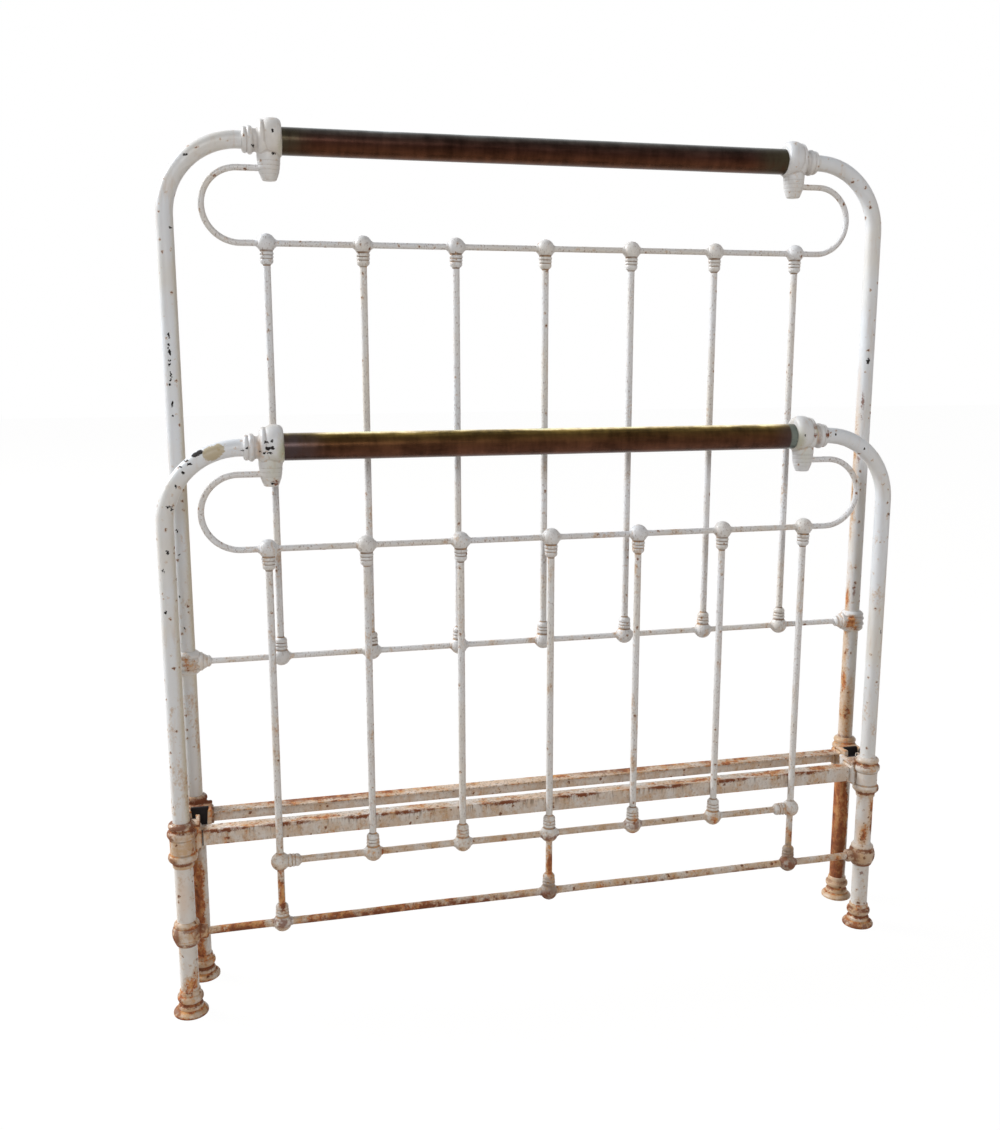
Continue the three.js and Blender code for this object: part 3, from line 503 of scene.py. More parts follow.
# %% The painted finish
def painted_iron(name, rust, dots, specks=0.0, grime=0.0, hollows=0.0, bands=(), patches=(), tints_and_shades=(),
                 drips=None, bare=(), crusts_and_shade=(), chips=(), painted_shadows=()):
    material, place = new_finish(name)
    height = add_node(tree_of(place), "SeparateXYZ", {0: place}).outputs["Z"]
    ragged = frayed(place)

    paint = paint_film(place, height, grime)
    share = ramp(divided(height, TALLEST), [[z / TALLEST, grey(part)] for z, part in rust])
    for middle, reach, extra in bands:
        away = maths(minus(height, middle * mm), operation="ABSOLUTE")
        share = plus(share, between(away, reach * mm, 0.0, 0.0, extra))
    if patches:
        share = plus(share, eggs(ragged, patches, 0.15))
    if hollows:
        hollow = add_node(tree_of(place), "Attribute", attribute_name="hollow").outputs["Fac"]
        groove = between(hollow, 0.52, 0.37)
        crest = between(hollow, 0.64, 0.85)
        share = plus(plus(share, times(crest, 0.03)), times(groove, 0.06 * hollows))
        # Dirt and painted shade darken the grooves.
        groove_dirt_and_shade = between(noise(place, 50.0), 0.3, 0.6, hollows * 0.6, hollows)
        paint = mixed(times(groove, groove_dirt_and_shade), paint, GRIME_AND_SHADE)
    # Tints of stain and verdigris, and the warm painted shade down the posts' right sides.
    for zones, tint in tints_and_shades:
        paint = mixed(eggs(ragged, zones, 0.1), paint, tint)
    if drips:
        runs = between(noise(place, 240.0, 3.0, 0.6, (1, 1, 0.08)), 0.5, 0.66, 0.0, 0.9)
        paint = mixed(times(runs, between(height, (drips - 20) * mm, drips * mm)), paint, GRIME_AND_SHADE)

    grown = rust_growth(place, share)
    rusty = between(grown, -0.02, 0.05)
    dot, dot_stain = small_dots(ragged, dots)
    colour = mixed(times(between(grown, -0.12, 0.0), 0.65), paint, STAIN)
    colour = mixed(dot_stain, colour, STAIN)
    tone = noise(place, 85.0, 5.0, 0.65, (1, 1, 0.6))
    rust_colour = ramp(tone, [[0.33, BROWN], [0.41, RED_RUST], [0.49, ORANGE], [0.60, OCHRE]])
    colour = mixed(rusty, colour, rust_colour)
    colour = mixed(times(between(grown, 0.03, 0.13), 0.3), colour, BROWN)
    if specks:
        speck = between(noise(place, 330.0, 3.0, 0.6, (1, 1, 0.6)), 0.57, 0.66, 0.0, specks)
        colour = mixed(speck, colour, SPECK)
    colour = mixed(times(dot, 0.9), colour, BROWN)
    if bare:
        colour = mixed(times(eggs(ragged, bare), 0.85), colour, TAN)

    worn = most(rusty, dot)
    through = []
    # Thick dark scale, which on the low castings also stands for painted shade on their rings.
    if crusts_and_shade:
        scale = between(noise(place, 75.0, 4.0, 0.6), 0.36, 0.54)
        through.append((times(eggs(ragged, crusts_and_shade, 0.5), scale), CRUST_AND_SHADE))
    if chips:
        through.append((eggs(ragged, chips), BARE_IRON_AND_SHADOW))
    # Near-black boxes of painted shadow, in the socket slots and the gaps.
    through += [(times(box_zone(place, centre, reach), strength), BARE_IRON_AND_SHADOW) for centre, reach, strength in painted_shadows]
    for mask, below in through:
        colour = mixed(mask, colour, below)
        worn = most(worn, mask)

    gloss = between(noise(place, 60.0), 0.3, 0.7, 0.28, 0.46)
    roughness = add_node(tree_of(worn), "Mix", {0: worn, 2: gloss, 3: 0.88}, data_type="FLOAT")
    grain = times(times(noise(place, 900.0, 2.0), worn), 0.6)
    film = times(minus(1.0, worn), 0.55)
    brushed = times(noise(place, 120.0, squeeze=(1, 1, 0.4)), 0.4)
    finish_shader(colour, roughness.outputs[0], plus(plus(film, grain), brushed), 0.6, 0.0010,
                  {"Specular IOR Level": 0.3})
    return material


# %% [markdown]
# High up the bed has kept most of its paint. The right post of the head end is the exception: brown
# runs and crusts go down its inner side. Brass salts have greened the mouths of the rail castings. A
# warm, darker tint down the right side of every post is painted shade.

# %% Paint of the posts and rail castings
# Painted shade: a warm, darker tint down the right side of each post.
right_side_shade = on_ends([(-672, 500, 11, 640, -6, 20, 0.8), (698, 560, 9, 420, -6, 20, 0.5)],
                 [(-672, 850, 11, 900, -6, 20, 0.8), (688, 500, 12, 500, -4, 20, 0.6)])
rust_wash = on_ends(head=[(673, 560, 12, 300, 0, 18, 0.7), (673, 960, 11, 290, 0, 17, 0.65),
                          (680, 430, 26, 120, -6, 34, 0.95)])
post_rust = on_ends([(-690, 400, 24, 50, -6, 30, 0.07)],
                    [(673, 560, 10, 300, -2, 16, 0.17), (673, 960, 9, 300, -2, 15, 0.15),
                     (675, 1095, 9, 60, -4, 14, 0.08), (682, 430, 22, 90, -6, 32, 0.14),
                     (-672, 480, 9, 130, -10, 12, 0.12)])
post_crust = on_ends(head=[(677, 1085, 3, 40, -12, 8, 0.8), (676, 980, 3, 20, -10, 8, 0.7),
                           (680, 700, 3, 24, -12, 8, 0.7), (680, 372, 30, 8, -6, 40, 0.7)])
upper_paint = painted_iron(
    "upper_paint", [[0.3, 0.38], [0.6, 0.35], [0.95, 0.31], [1.2, 0.23]], dots=0.19, patches=post_rust,
    chips=dark_chips, bare=bare_tan, crusts_and_shade=post_crust, tints_and_shades=[(right_side_shade, WARM_SIDE_SHADE), (rust_wash, WASH)])

cast_rust = on_ends([(514, 1050, 8, 14, -26, 14, 0.10), (546, 1038, 6, 12, -20, 14, 0.10)],
                    [(676, 632, 25, 24, -20, 20, 0.13), (-676, 632, 25, 24, -20, 20, 0.10)])
cast_crust = on_ends([(515, 1041, 6, 6, -28), (545, 1042, 6, 9, -22), (-498, 976, 9, 7, -16),
                      (517, 1056, 6, 9, -24, 12, 0.6), (530, 1030, 5, 14, -20, 12, 0.5)])
brass_green = on_ends([(-484, 1030, 16, 40, -26, 30, 0.75), (484, 1026, 16, 40, -26, 30, 0.55),
                       (-500, 1000, 26, 44, -24, 24, 0.35), (500, 1000, 24, 36, -24, 24, 0.3),
                       (520, 1050, 10, 16, -24, 18, 0.7)], [(-484, 1545, 10, 30, -26, 30, 0.35)])
# The necks of the foot end's rail castings are tinted brown.
brown_tinted_necks = on_ends([(-524, 1037, 8, 30, -20, 24, 0.6), (524, 1037, 6, 30, -20, 24, 0.7)])
cast_paint = painted_iron(
    "cast_paint", [[0.6, 0.38], [0.9, 0.34], [1.2, 0.30]], dots=0.14, grime=0.1, hollows=0.3,
    patches=cast_rust, crusts_and_shade=cast_crust, chips=dark_chips,
    tints_and_shades=[(brass_green, VERDIGRIS), (brown_tinted_necks, STAIN)])
print("paint of the posts and rail castings ready")

# %% [markdown]
# The rods are thin, so their paint shows as fine specks more than as patches. Dirt and painted shade
# sit in the rings of every knuckle, and the low knuckles, which damp reaches first, are brown or crusted.

# %% Paint of the rods, spindles and knuckles
rod_paint = painted_iron(
    "rod_paint", [[0.6, 0.37], [0.85, 0.35], [1.2, 0.32]], dots=0.19, specks=0.6, grime=0.16)
knuckle_rust = on_ends([(first_x, 215, 12, 50, -8, 14, 0.16), (middle_x, 215, 12, 46, -8, 14, 0.14),
                        *((spindle_places[number], 268, 12, 60, -8, 14, 0.08) for number in range(2, 7))])
knuckle_crust = on_ends([(first_x, 262, 24, 7, -8, 26, 0.8), (first_x, 160, 30, 12, -8, 30, 0.8),
                         (middle_x, 272, 34, 8, -8, 34, 0.8), (middle_x, 150, 30, 18, -8, 30, 0.85),
                         (last_x, 160, 30, 24, -8, 30, 0.85), (spindle_places[5], 280, 30, 10, -8, 30, 0.7)])
brown_knuckles = on_ends([(last_x, 180, 34, 90, -8, 34), (middle_x, 160, 34, 50, -8, 34)])
joint_stain = on_ends([(x, 268, 24, 14, -4, 24, 0.9) for x in spindle_places.values()]
                      + [(x, 148, 24, 14, -4, 24, 0.9) for x in (first_x, middle_x, last_x)])
knuckle_paint = painted_iron(
    "knuckle_paint", [[0.15, 0.415], [0.3, 0.40], [0.42, 0.365], [0.85, 0.345], [1.4, 0.31]], dots=0.19,
    specks=0.45, grime=0.12, hollows=1.0, patches=knuckle_rust, crusts_and_shade=knuckle_crust,
    tints_and_shades=[(joint_stain, WASH), (brown_knuckles, DIRT)])

bottom_rust = on_ends([(-590, 156, 75, 24, -3, 20, 0.20), (-300, 158, 300, 30, 0, 26, 0.12)])
bottom_crust = on_ends([(-594, 150, 66, 13, -6, 20), (-410, 151, 105, 11, -6, 20),
                        (-250, 152, 300, 14, -6, 24), (0, 148, 320, 8, -6, 20, 0.7),
                        (220, 151, 130, 9, -6, 20, 0.8), (430, 152, 70, 8, -6, 20, 0.8)])
bottom_paint = painted_iron("bottom_paint", [[0.10, 0.435], [0.25, 0.41], [0.3, 0.39]], dots=0.26, specks=0.6,
                            grime=0.8, patches=bottom_rust, crusts_and_shade=bottom_crust)
print("paint of the rods and knuckles ready")

# %% [markdown]
# The legs and angle irons carry both bare rust and peach-coloured stains round it. On the irons the
# rust lies along the flange, where mattress and damp rubbed, and runs down the face from its edge.

# %% Paint of the legs and angle irons
leg_rust = on_ends([(694, 255, 15, 60, -10, 16, 0.24), (679, 205, 13, 40, -12, 14, 0.24),
                    (-684, 62, 24, 34, -12, 16, 0.18), (684, 110, 9, 24, -14, 12, 0.14)],
                   [(672, 190, 30, 360, -14, 44, 0.38), (-690, 170, 24, 300, -14, 32, 0.23)])
leg_crust = on_ends([(698, 222, 9, 22, -10, 14, 0.8), (680, 118, 5, 10, -14, 12, 0.8)],
                    [(676, 100, 28, 90, -12, 34, 0.75), (-690, 220, 14, 130, -14, 24, 0.4)])
leg_wash = on_ends([(696, 255, 24, 64, -10, 26, 0.95), (678, 205, 22, 46, -12, 22, 0.95),
                    (-690, 235, 18, 70, -10, 22, 0.5)])
leg_paint = painted_iron("leg_paint", [[0.0, 0.40], [0.15, 0.37], [0.35, 0.37]], dots=0.22, grime=0.2,
                         patches=leg_rust, crusts_and_shade=leg_crust, tints_and_shades=[(leg_wash, PEACH)])

flange_spots = [(-560, 60, 22, 0.08), (-440, 60, 20, 0.11), (-250, 50, 20, 0.07), (-60, 60, 20, 0.10),
                (120, 50, 20, 0.07), (300, 90, 20, 0.11), (480, 90, 20, 0.15), (600, 60, 22, 0.15)]
iron_rust = on_ends([(x, 349.5, wide, 4.5, y, 18, strength) for x, wide, y, strength in flange_spots],
                    [(-420, 348, 330, 14, 0, 60, 0.13), (300, 348, 420, 12, 0, 60, 0.08)])
iron_wash = on_ends([(x, 349.5, wide + 20, 8, y, 18, 0.95) for x, wide, y, strength in flange_spots],
                    [(0, 349, 900, 7, 0, 60, 0.8)])
iron_edge = on_ends([(x, 346.5, 60, 6, 6, 9) for x in (-610, -500, -350, -270, -90, 60, 250, 380, 540)],
                    [(-450, 346, 200, 8, 0, 40, 0.8), (150, 346, 130, 6, 0, 40, 0.8)])
iron_paint = painted_iron(
    "iron_paint", [[0.319, 0.40], [0.335, 0.38], [0.3455, 0.38], [0.3475, 0.395]], dots=0.24, specks=0.35,
    grime=0.6, bands=[(347.0, 1.8, 0.08), (320, 2.5, 0.06)], patches=iron_rust, crusts_and_shade=iron_edge,
    tints_and_shades=[(iron_wash, PEACH)], drips=347, painted_shadows=gap_shadows)
print("paint of the legs and angle irons ready")

# %% [markdown]
# The low castings hold water in their rings, so each ring has its own band of rust or scale. Those on
# the right are paler than those on the left, and the foot end's right foot is nearly all rust. Part of
# the dark scale on the rings is painted shade: under the top rings of the left corner castings, and on
# the right sides of the right castings' rings.

# %% Paint of the corner castings, bottom castings and feet
low_bands = [(2, 5, 0.06), (11, 4, 0.05), (22, 4, 0.06), (136, 6, 0.06), (150, 4, 0.04), (175, 5, 0.05),
             (304, 6, 0.05), (314, 3, 0.05), (348, 6, 0.04), (360, 4, 0.06)]
low_rust = on_ends([(-686, 366, 34, 14, 0, 34, 0.06), (-686, 36, 40, 24, 0, 40, 0.05)])
# Dark scale on the left castings. The bands under the corner castings' top rings are painted shade.
low_crust_and_shade = on_ends([
    (-686, 368, 60, 10, 0, 60, 0.9), (-686, 358, 60, 5, 0, 60), (-704, 352, 16, 14, -10, 30, 0.8),
    (-686, 298, 60, 6, 0, 60, 0.9), (-704, 305, 14, 10, -8, 30, 0.8), (-706, 160, 16, 28, -10, 26, 0.8),
    (-662, 157, 20, 24, -8, 26, 0.85), (-686, 139, 60, 7, 0, 60, 0.8), (-686, 172, 60, 6, 0, 60, 0.7),
    (-686, 21.5, 60, 5, 0, 60), (-710, 30, 12, 18, -10, 30, 0.8), (-660, 30, 10, 16, -10, 30, 0.6),
    (-686, 1, 60, 5, 0, 60, 0.8), (-712, 8, 12, 14, -10, 40, 0.8), (-660, 345, 12, 26, -12, 16, 0.5),
], [(-686, 21.5, 60, 5, 0, 60, 0.9), (-676, 362, 60, 16, 0, 60), (-650, 346, 24, 40, 0, 60, 0.85)])
low_casting_paint = painted_iron(
    "low_casting_paint", [[0.0, 0.455], [0.05, 0.45], [0.12, 0.44], [0.4, 0.42]], dots=0.24, grime=0.9,
    hollows=1.0, bands=low_bands, patches=low_rust, crusts_and_shade=low_crust_and_shade, painted_shadows=slot_shadows)

# Dark scale on the right castings, and painted shade on the right sides of their rings.
paler_crust_and_shade = on_ends([
    (708, 160, 16, 26, -12, 30), (708, 304, 18, 14, -10, 30), (686, 359, 60, 6, -8, 60, 0.9),
    (686, 298, 60, 6, -8, 60, 0.9), (658, 157, 20, 20, -8, 30, 0.8), (686, 172, 60, 6, -8, 60, 0.85),
    (686, 139, 60, 7, -8, 60, 0.85),
], [(686, 21.5, 60, 5, 0, 60, 0.8), (686, 38, 60, 4, 0, 60, 0.6)])
tan_parts = on_ends([(676, 157, 60, 40, -8, 60, 0.9), (686, 300, 60, 16, 0, 60, 0.9),
                     (686, 362, 60, 14, 0, 60, 0.7)], [(686, 24, 70, 60, 0, 70)])
paler_casting_paint = painted_iron(
    "paler_casting_paint", [[0.0, 0.41], [0.1, 0.39], [0.4, 0.37]], dots=0.24, grime=0.4, hollows=1.0,
    bands=low_bands, crusts_and_shade=paler_crust_and_shade, tints_and_shades=[(tan_parts, STAIN)], painted_shadows=slot_shadows)

sole_crust = on_ends([(686, 37, 60, 7, 0, 60, 0.9), (686, 21.5, 60, 5, 0, 60), (706, 8, 24, 14, -14, 30, 0.9),
                      (686, 3, 60, 12, 0, 60, 0.9)])
sole_paint = painted_iron("sole_paint", [[0.0, 0.50], [0.05, 0.47]], dots=0.24, grime=0.9, hollows=1.0,
                          bands=low_bands, crusts_and_shade=sole_crust)
special_coats["footboard_foot_casting_right"] = sole_paint
for name in ("footboard_bottom_casting", "footboard_corner_casting", "headboard_foot_casting"):
    special_coats[name + "_right"] = paler_casting_paint
print("painted finishes ready")

# %% [markdown]
# Brass left unpolished for a lifetime turns to a dark umber. It stays a metal: the colour sits in the
# reflection. Round the tube the colour is painted as light falls on it: redder underneath, a painted
# reflection of the ground, and a painted highlight along the top, golden on the foot rail and a pale
# blue-grey sky reflection on the head rail. Fine streaks run along the tube, as they were drawn, and
# darker smudges lie across it.

# %% The tarnished brass finish, with its painted reflections
def brass_tarnish_and_sheen(name, axis_height, stops, ends_colour, dull_end=None):
    """Stops are [how high round the tube, from 0 underneath to 1 on top, colour]. They hold the tarnish and
    the painted reflections: redder underneath, a painted highlight on top.
    """
    material, place = new_finish(name)
    parts = add_node(tree_of(place), "SeparateXYZ", {0: place}).outputs
    rise = divided(minus(parts["Z"], (axis_height - BRASS_RADIUS) * mm), 2 * BRASS_RADIUS * mm)
    cloud = noise(place, 34.0, 5.0, 0.6, (0.3, 1, 1))
    smudge = noise(place, 60.0, 4.0, 0.6, (1, 0.3, 0.3))
    streak = noise(place, 700.0, squeeze=(0.03, 1, 1))
    colour = ramp(plus(rise, times(minus(cloud, 0.5), 0.16)), stops)
    patchy = plus(times(cloud, 0.6), times(smudge, 0.4))
    shade = ramp(patchy, [[0.36, grey(0.45)], [0.5, grey(0.95)], [0.64, grey(1.5)]])
    colour = mixed(1.0, colour, shade, "MULTIPLY")
    reach = maths(parts["X"], operation="ABSOLUTE")
    near_end = times(between(reach, 0.41, 0.475), between(smudge, 0.3, 0.6, 0.3, 0.8))
    colour = mixed(near_end, colour, ends_colour)
    if dull_end:
        start, dull_colour = dull_end
        edge = plus(parts["X"], times(smudge, 0.008))
        colour = mixed(between(edge, start * mm, (start + 5) * mm, 0.0, 0.85), colour, dull_colour)
    roughness = between(plus(times(cloud, 0.6), times(streak, 0.4)), 0.35, 0.65, 0.22, 0.42)
    finish_shader(colour, roughness, streak, 0.12, 0.0004, {"Metallic": 1.0})
    return material


# Painted reflection: redder underneath, dark in the middle, and a golden painted highlight along the top.
foot_brass = brass_tarnish_and_sheen("foot_brass", FOOT_RAIL, [
    [0.00, (0.090, 0.040, 0.024)], [0.20, (0.078, 0.032, 0.018)], [0.42, (0.055, 0.022, 0.011)],
    [0.62, (0.045, 0.020, 0.008)], [0.80, (0.042, 0.023, 0.007)], [0.90, (0.085, 0.055, 0.014)],
    [0.955, (0.30, 0.21, 0.06)], [0.99, (0.95, 0.82, 0.52)],
], (0.045, 0.034, 0.036, 1), (459, (0.13, 0.15, 0.13, 1)))
# Painted reflection: redder underneath, dark in the middle, and a pale blue-grey painted sky reflection along
# the top.
head_brass = brass_tarnish_and_sheen("head_brass", HEAD_RAIL, [
    [0.00, (0.085, 0.036, 0.018)], [0.22, (0.055, 0.020, 0.010)], [0.45, (0.026, 0.010, 0.0065)],
    [0.70, (0.024, 0.013, 0.010)], [0.88, (0.042, 0.036, 0.032)], [0.97, (0.13, 0.14, 0.14)],
    [1.00, (0.45, 0.50, 0.52)],
], (0.040, 0.036, 0.022, 1))

dark_iron = painted_iron("dark_iron", [[0.0, 0.75], [TALLEST, 0.75]], dots=0.3)
for end in ("footboard", "headboard"):
    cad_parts[end + "_rail_core"].material_slots[0].material = dark_iron
print("brass finishes:", foot_brass.name, head_brass.name)

# %% [markdown]
# ## Posts and legs
# Each post is one iron tube, bent over through a quarter circle by a tube bender. A disc at the foot of
# the post is extruded straight up, spun round the bend's centre, and extruded again into the rail
# casting. Spin keeps the tube's thickness all the way round the bend.

# %% Draw the posts
def bent_post(rail_height, start=328, into_casting=34):
    """The left post of an end, in that end's plane."""
    bend_height = rail_height - POST_BEND
    piece = circle(POST_RADIUS, 36, (-POST_PLACE, 0, start))
    pull(z=bend_height - start)
    bend(-90, 24, POST_BEND - POST_PLACE, bend_height)
    pull(x=into_casting)
    return closed(piece)


foot_post, head_post = bent_post(FOOT_RAIL), bent_post(HEAD_RAIL)
finish(copied(foot_post, foot_end @ mirror_x), "footboard_post_right", upper_paint)
finish(moved(foot_post, foot_end), "footboard_post_left", upper_paint)
finish(copied(head_post, head_end @ mirror_x), "headboard_post_left", upper_paint)
finish(moved(head_post, head_end), "headboard_post_right", upper_paint)
print("posts drawn, top at", round(max(v.co.z for v in head_post.data.vertices), 4), "m")

# %% [markdown]
# The legs below the corner castings are a stouter tube. Most of each leg's ends is hidden in iron, so a
# turned bar with a small rounding at both ends is enough.

# %% Draw the legs
LEG_LOW, LEG_TOP, ROUNDING = 9, 320, 1
leg_rings = [[LEG_RADIUS - ROUNDING, LEG_LOW], [LEG_RADIUS, LEG_LOW + ROUNDING],
             [LEG_RADIUS, LEG_TOP - ROUNDING], [LEG_RADIUS - ROUNDING, LEG_TOP]]
set_out(turned(leg_rings, 36), leg_paint, at_posts("leg"))

# %% [markdown]
# ## Brass rails
# The rail is a thin brass tube. An open ring is drawn out along the rail, its skin is given the tube's
# thickness with Solidify, and its rims are left open because the castings' spigots sit inside them.

# %% Draw the brass rails
def brass_tube(rail_height, play=0.3, wall=1.2, lengths=8):
    piece = circle(BRASS_RADIUS, 72, (-(BRASS_END - play), 0, rail_height), across=True, fill="NOTHING")
    step = ((2 * BRASS_END - 2 * play) / lengths * mm, 0, 0)
    for stretch in range(lengths):
        bpy.ops.mesh.extrude_edges_move(TRANSFORM_OT_translate={"value": step})
    return modified(closed(piece), "SOLIDIFY", thickness=wall * mm, offset=-1, use_even_offset=True)


finish(moved(brass_tube(FOOT_RAIL), foot_end), "footboard_brass_rail", foot_brass)
finish(moved(brass_tube(HEAD_RAIL), head_end), "headboard_brass_rail", head_brass)
print("brass rails drawn")

# %% [markdown]
# ## Rail castings
# At each end of the brass sits a casting like a small barrel with a band, a narrow neck and a collar of
# two rings round the post's end. The barrel is not quite in line with the brass: more of it stands
# above than below. A ribbed lug hangs from it and holds the loop rod. Mouth and barrel are turned along
# the rail, the lug is turned upright, and the three are cast in one.

# %% Draw the rail castings
mouth_rings = [
    [22.3, -12], [22.3, -0.2], [25.2, 0], [26.6, 1.2], [27.6, 3], [28.2, 6], [28.2, 35], [27.0, 38],
    [24.4, 40], [21.4, 41.4], [19.9, 43], [19.3, 45.6], [19.5, 48.2], [21.0, 50], [23.2, 51.4],
    [24.3, 53.8], [24.1, 56.6], [22.6, 58.4], [20.8, 59.2], [20.6, 60], [21.8, 61.2], [22.4, 63.4],
    [21.7, 65.8], [19.6, 67.8], [16.3, 68.8],
]
barrel_rings = [
    [25.5, 0.3], [28.6, 1.6], [31.0, 4], [32.8, 8], [33.5, 13], [33.4, 19], [32.4, 24], [30.9, 27.6],
    [29.4, 29.6], [28.6, 30.8], [29.6, 32.2], [30.0, 34], [29.3, 36.6], [27.0, 38.8], [23.0, 40.4],
    [18.0, 41.4],
]
lug_rings = [
    [20.4, -8], [20.6, -30], [20.5, -33], [19.8, -34.4], [19.8, -35.2], [20.2, -36.8], [19.9, -40.6],
    [19.1, -42], [19.1, -42.8], [19.4, -44.4], [18.9, -48], [18.0, -49.4], [17.9, -50.2], [18.1, -51.8],
    [17.3, -55], [16.3, -56.4], [16.1, -57.2], [16.1, -58.6], [14.9, -61.4], [13.9, -63.0], [13.7, -64.2],
    [12.9, -66.0], [11.0, -67.4], [2.5, -68],
]
mouth = moved(turned(mouth_rings, 48), shifted(BRASS_END) @ along_x)
barrel = moved(turned(barrel_rings, 48), shifted(BRASS_END, 0, BARREL_LIFT) @ along_x)
lug = moved(turned(lug_rings, 40), shifted(LUG_PLACE))
rail_casting = weathered_and_shaded(cast(joined(mouth, barrel, lug), 1.0), 3)
rail_heights = {"footboard": FOOT_RAIL, "headboard": HEAD_RAIL}
casting_places = {f"{end}_rail_casting_{side}": where @ shifted(0, 0, rail_heights[end])
                  @ (as_drawn if way > 0 else mirror_x) for end, side, where, way in corners}
set_out(rail_casting, cast_paint, casting_places)

# %% [markdown]
# ## Loop rods
# One thin rod runs from lug to lug. It leaves the right lug, turns down through a half circle, crosses
# the whole end as the upper rod and comes back up on the left. Drawn as it was bent: straight, spin,
# straight, spin, straight.

# %% Draw the loop rods
def loop_rod(rail_height, loop_radius, off_lug_middle=8):
    top = rail_height - LOOP_DROP
    start = LUG_PLACE + off_lug_middle
    piece = circle(THIN_ROD, 20, (start, 0, top), across=True)
    pull(x=LOOP_PLACE - start)
    for side, length in ((1, 2 * LOOP_PLACE), (-1, LOOP_PLACE - start)):
        bend(-180, 36, side * LOOP_PLACE, top - loop_radius)
        pull(x=-side * length)
    return closed(piece)


finish(moved(loop_rod(FOOT_RAIL, FOOT_LOOP), foot_end), "footboard_loop_rod", rod_paint)
finish(moved(loop_rod(HEAD_RAIL, HEAD_LOOP), head_end), "headboard_loop_rod", rod_paint)
print("loop rods drawn")

# %% [markdown]
# ## Spindles and their knuckles
# Where a spindle crosses a rod, a ball of iron was cast round both, with a collar of three rings that
# steps down to the spindle. The whole spindle is one turned shape: knuckle, rod, knuckle. Two little
# cones at the ball's sides are where the iron crept out along the cross rod. Three short lengths of
# rod follow each collar, so that the dirt in its last groove doesn't spread along the long faces.

# %% Draw one knuckle profile and use it for the spindles
BALL_RADIUS = 17.2
COLLAR_TOP = 38.4
collar_rings = [
    [11.8, 12.5], [11.3, 13.6], [11.5, 15], [12.3, 16.2], [12.5, 18], [12.1, 19.6], [11.2, 20.4],
    [11.2, 21.2], [12.0, 22.2], [12.1, 24], [11.7, 25.8], [10.8, 26.6], [10.8, 27.4], [11.6, 28.4],
    [11.7, 31], [11.1, 33.4], [9.8, 35.2], [8.2, 36.5], [7.0, 37.5],
]


def ball_rings(last_turn):
    turns = (math.radians(turn) for turn in range(10, last_turn + 1, 15))
    return [[BALL_RADIUS * math.sin(turn), -BALL_RADIUS * math.cos(turn)] for turn in turns]


def plain(*heights):
    return [[SPINDLE_RADIUS, height] for height in heights]


def knuckle(height, way):
    """Rings from the ball's far pole to the plain rod. Way is -1 where the collar hangs below the ball."""
    rings = ball_rings(140) + collar_rings + plain(COLLAR_TOP, 40, 42, 44.5)
    return [[radius, height + way * along] for radius, along in rings]


def side_cones(height, rod_radius):
    """The two cones at a ball's sides, on the rod that goes through it."""
    rings = [[8.2, 13], [7.9, 15.8], [rod_radius + 0.8, 17.4], [rod_radius + 0.2, 18.4]]
    cone = moved(turned(rings, 20), shifted(0, 0, height) @ along_x)
    return [cone, copied(cone, mirror_x)]


def spindle(rings, *cones, collars=()):
    """A turned spindle with cones at [height, rod's radius] and perhaps more collars, joined in one."""
    body = turned(rings, 24)
    return weathered_and_shaded(joined(body, *collars, *(cone for place in cones for cone in side_cones(*place))))


head_spindle = spindle(knuckle(HEAD_MID, 1) + knuckle(HEAD_UPPER, -1)[::-1],
                       (HEAD_MID, THIN_ROD), (HEAD_UPPER, THIN_ROD))
set_out(head_spindle, knuckle_paint, {
    f"headboard_spindle_{number}": head_end @ shifted(-x) for number, x in spindle_places.items()})

# %% [markdown]
# The foot end's inner spindles are the same, only shorter. Its outer two end in a plain ball, and the
# lower rod runs into a collar at the ball's side. Under the first, middle and last spindle a short
# stub goes on down to the bottom rod.

# %% Draw the foot end's spindles and stubs
inner_spindle = spindle(knuckle(FOOT_LOWER, 1) + knuckle(FOOT_UPPER, -1)[::-1],
                        (FOOT_LOWER, LOWER_ROD), (FOOT_UPPER, THIN_ROD))
set_out(inner_spindle, knuckle_paint, {
    f"footboard_spindle_{number}": foot_end @ shifted(spindle_places[number]) for number in range(2, 7)})

plain_rings = ball_rings(145) + [[7.9, 15.6], [6.6, 17.4]] + plain(19, 21, 23.4)
plain_end = [[radius, FOOT_LOWER + along] for radius, along in plain_rings]
side_rings = [[9.4, 9], *collar_rings, [6.9, COLLAR_TOP]]
side_collar = moved(turned(side_rings, 24), shifted(0, 0, FOOT_LOWER) @ along_x)
outer_spindle = spindle(plain_end + knuckle(FOOT_UPPER, -1)[::-1], (FOOT_UPPER, THIN_ROD),
                        collars=[side_collar])
set_out(outer_spindle, knuckle_paint, {
    "footboard_spindle_1": foot_end @ shifted(first_x),
    "footboard_spindle_7": foot_end @ shifted(last_x) @ mirror_x})

stub = spindle(knuckle(FOOT_BOTTOM, 1) + [[6.35, 262], [5.5, 264]], (FOOT_BOTTOM, BOTTOM_ROD))
set_out(stub, knuckle_paint, {
    f"footboard_stub_{number}": foot_end @ shifted(x)
    for number, x in enumerate((first_x, middle_x, last_x), 1)})

# %% [markdown]
# ## Straight rods
# The middle, lower and bottom rods are plain iron bar. Each is drawn out in many short lengths, and a
# few of the sections between are nudged up or down by less than a millimetre, because no old bar is
# quite straight.

# %% Draw the straight rods
def straight_rod(radius, height, reach, bow, lengths=32):
    piece = circle(radius, 20, (-reach, 0, height), across=True)
    for stretch in range(lengths):
        sink = bow * (math.sin(math.pi * (stretch + 1) / 4) - math.sin(math.pi * stretch / 4))
        pull(x=2 * reach / lengths, z=sink)
    return closed(piece)


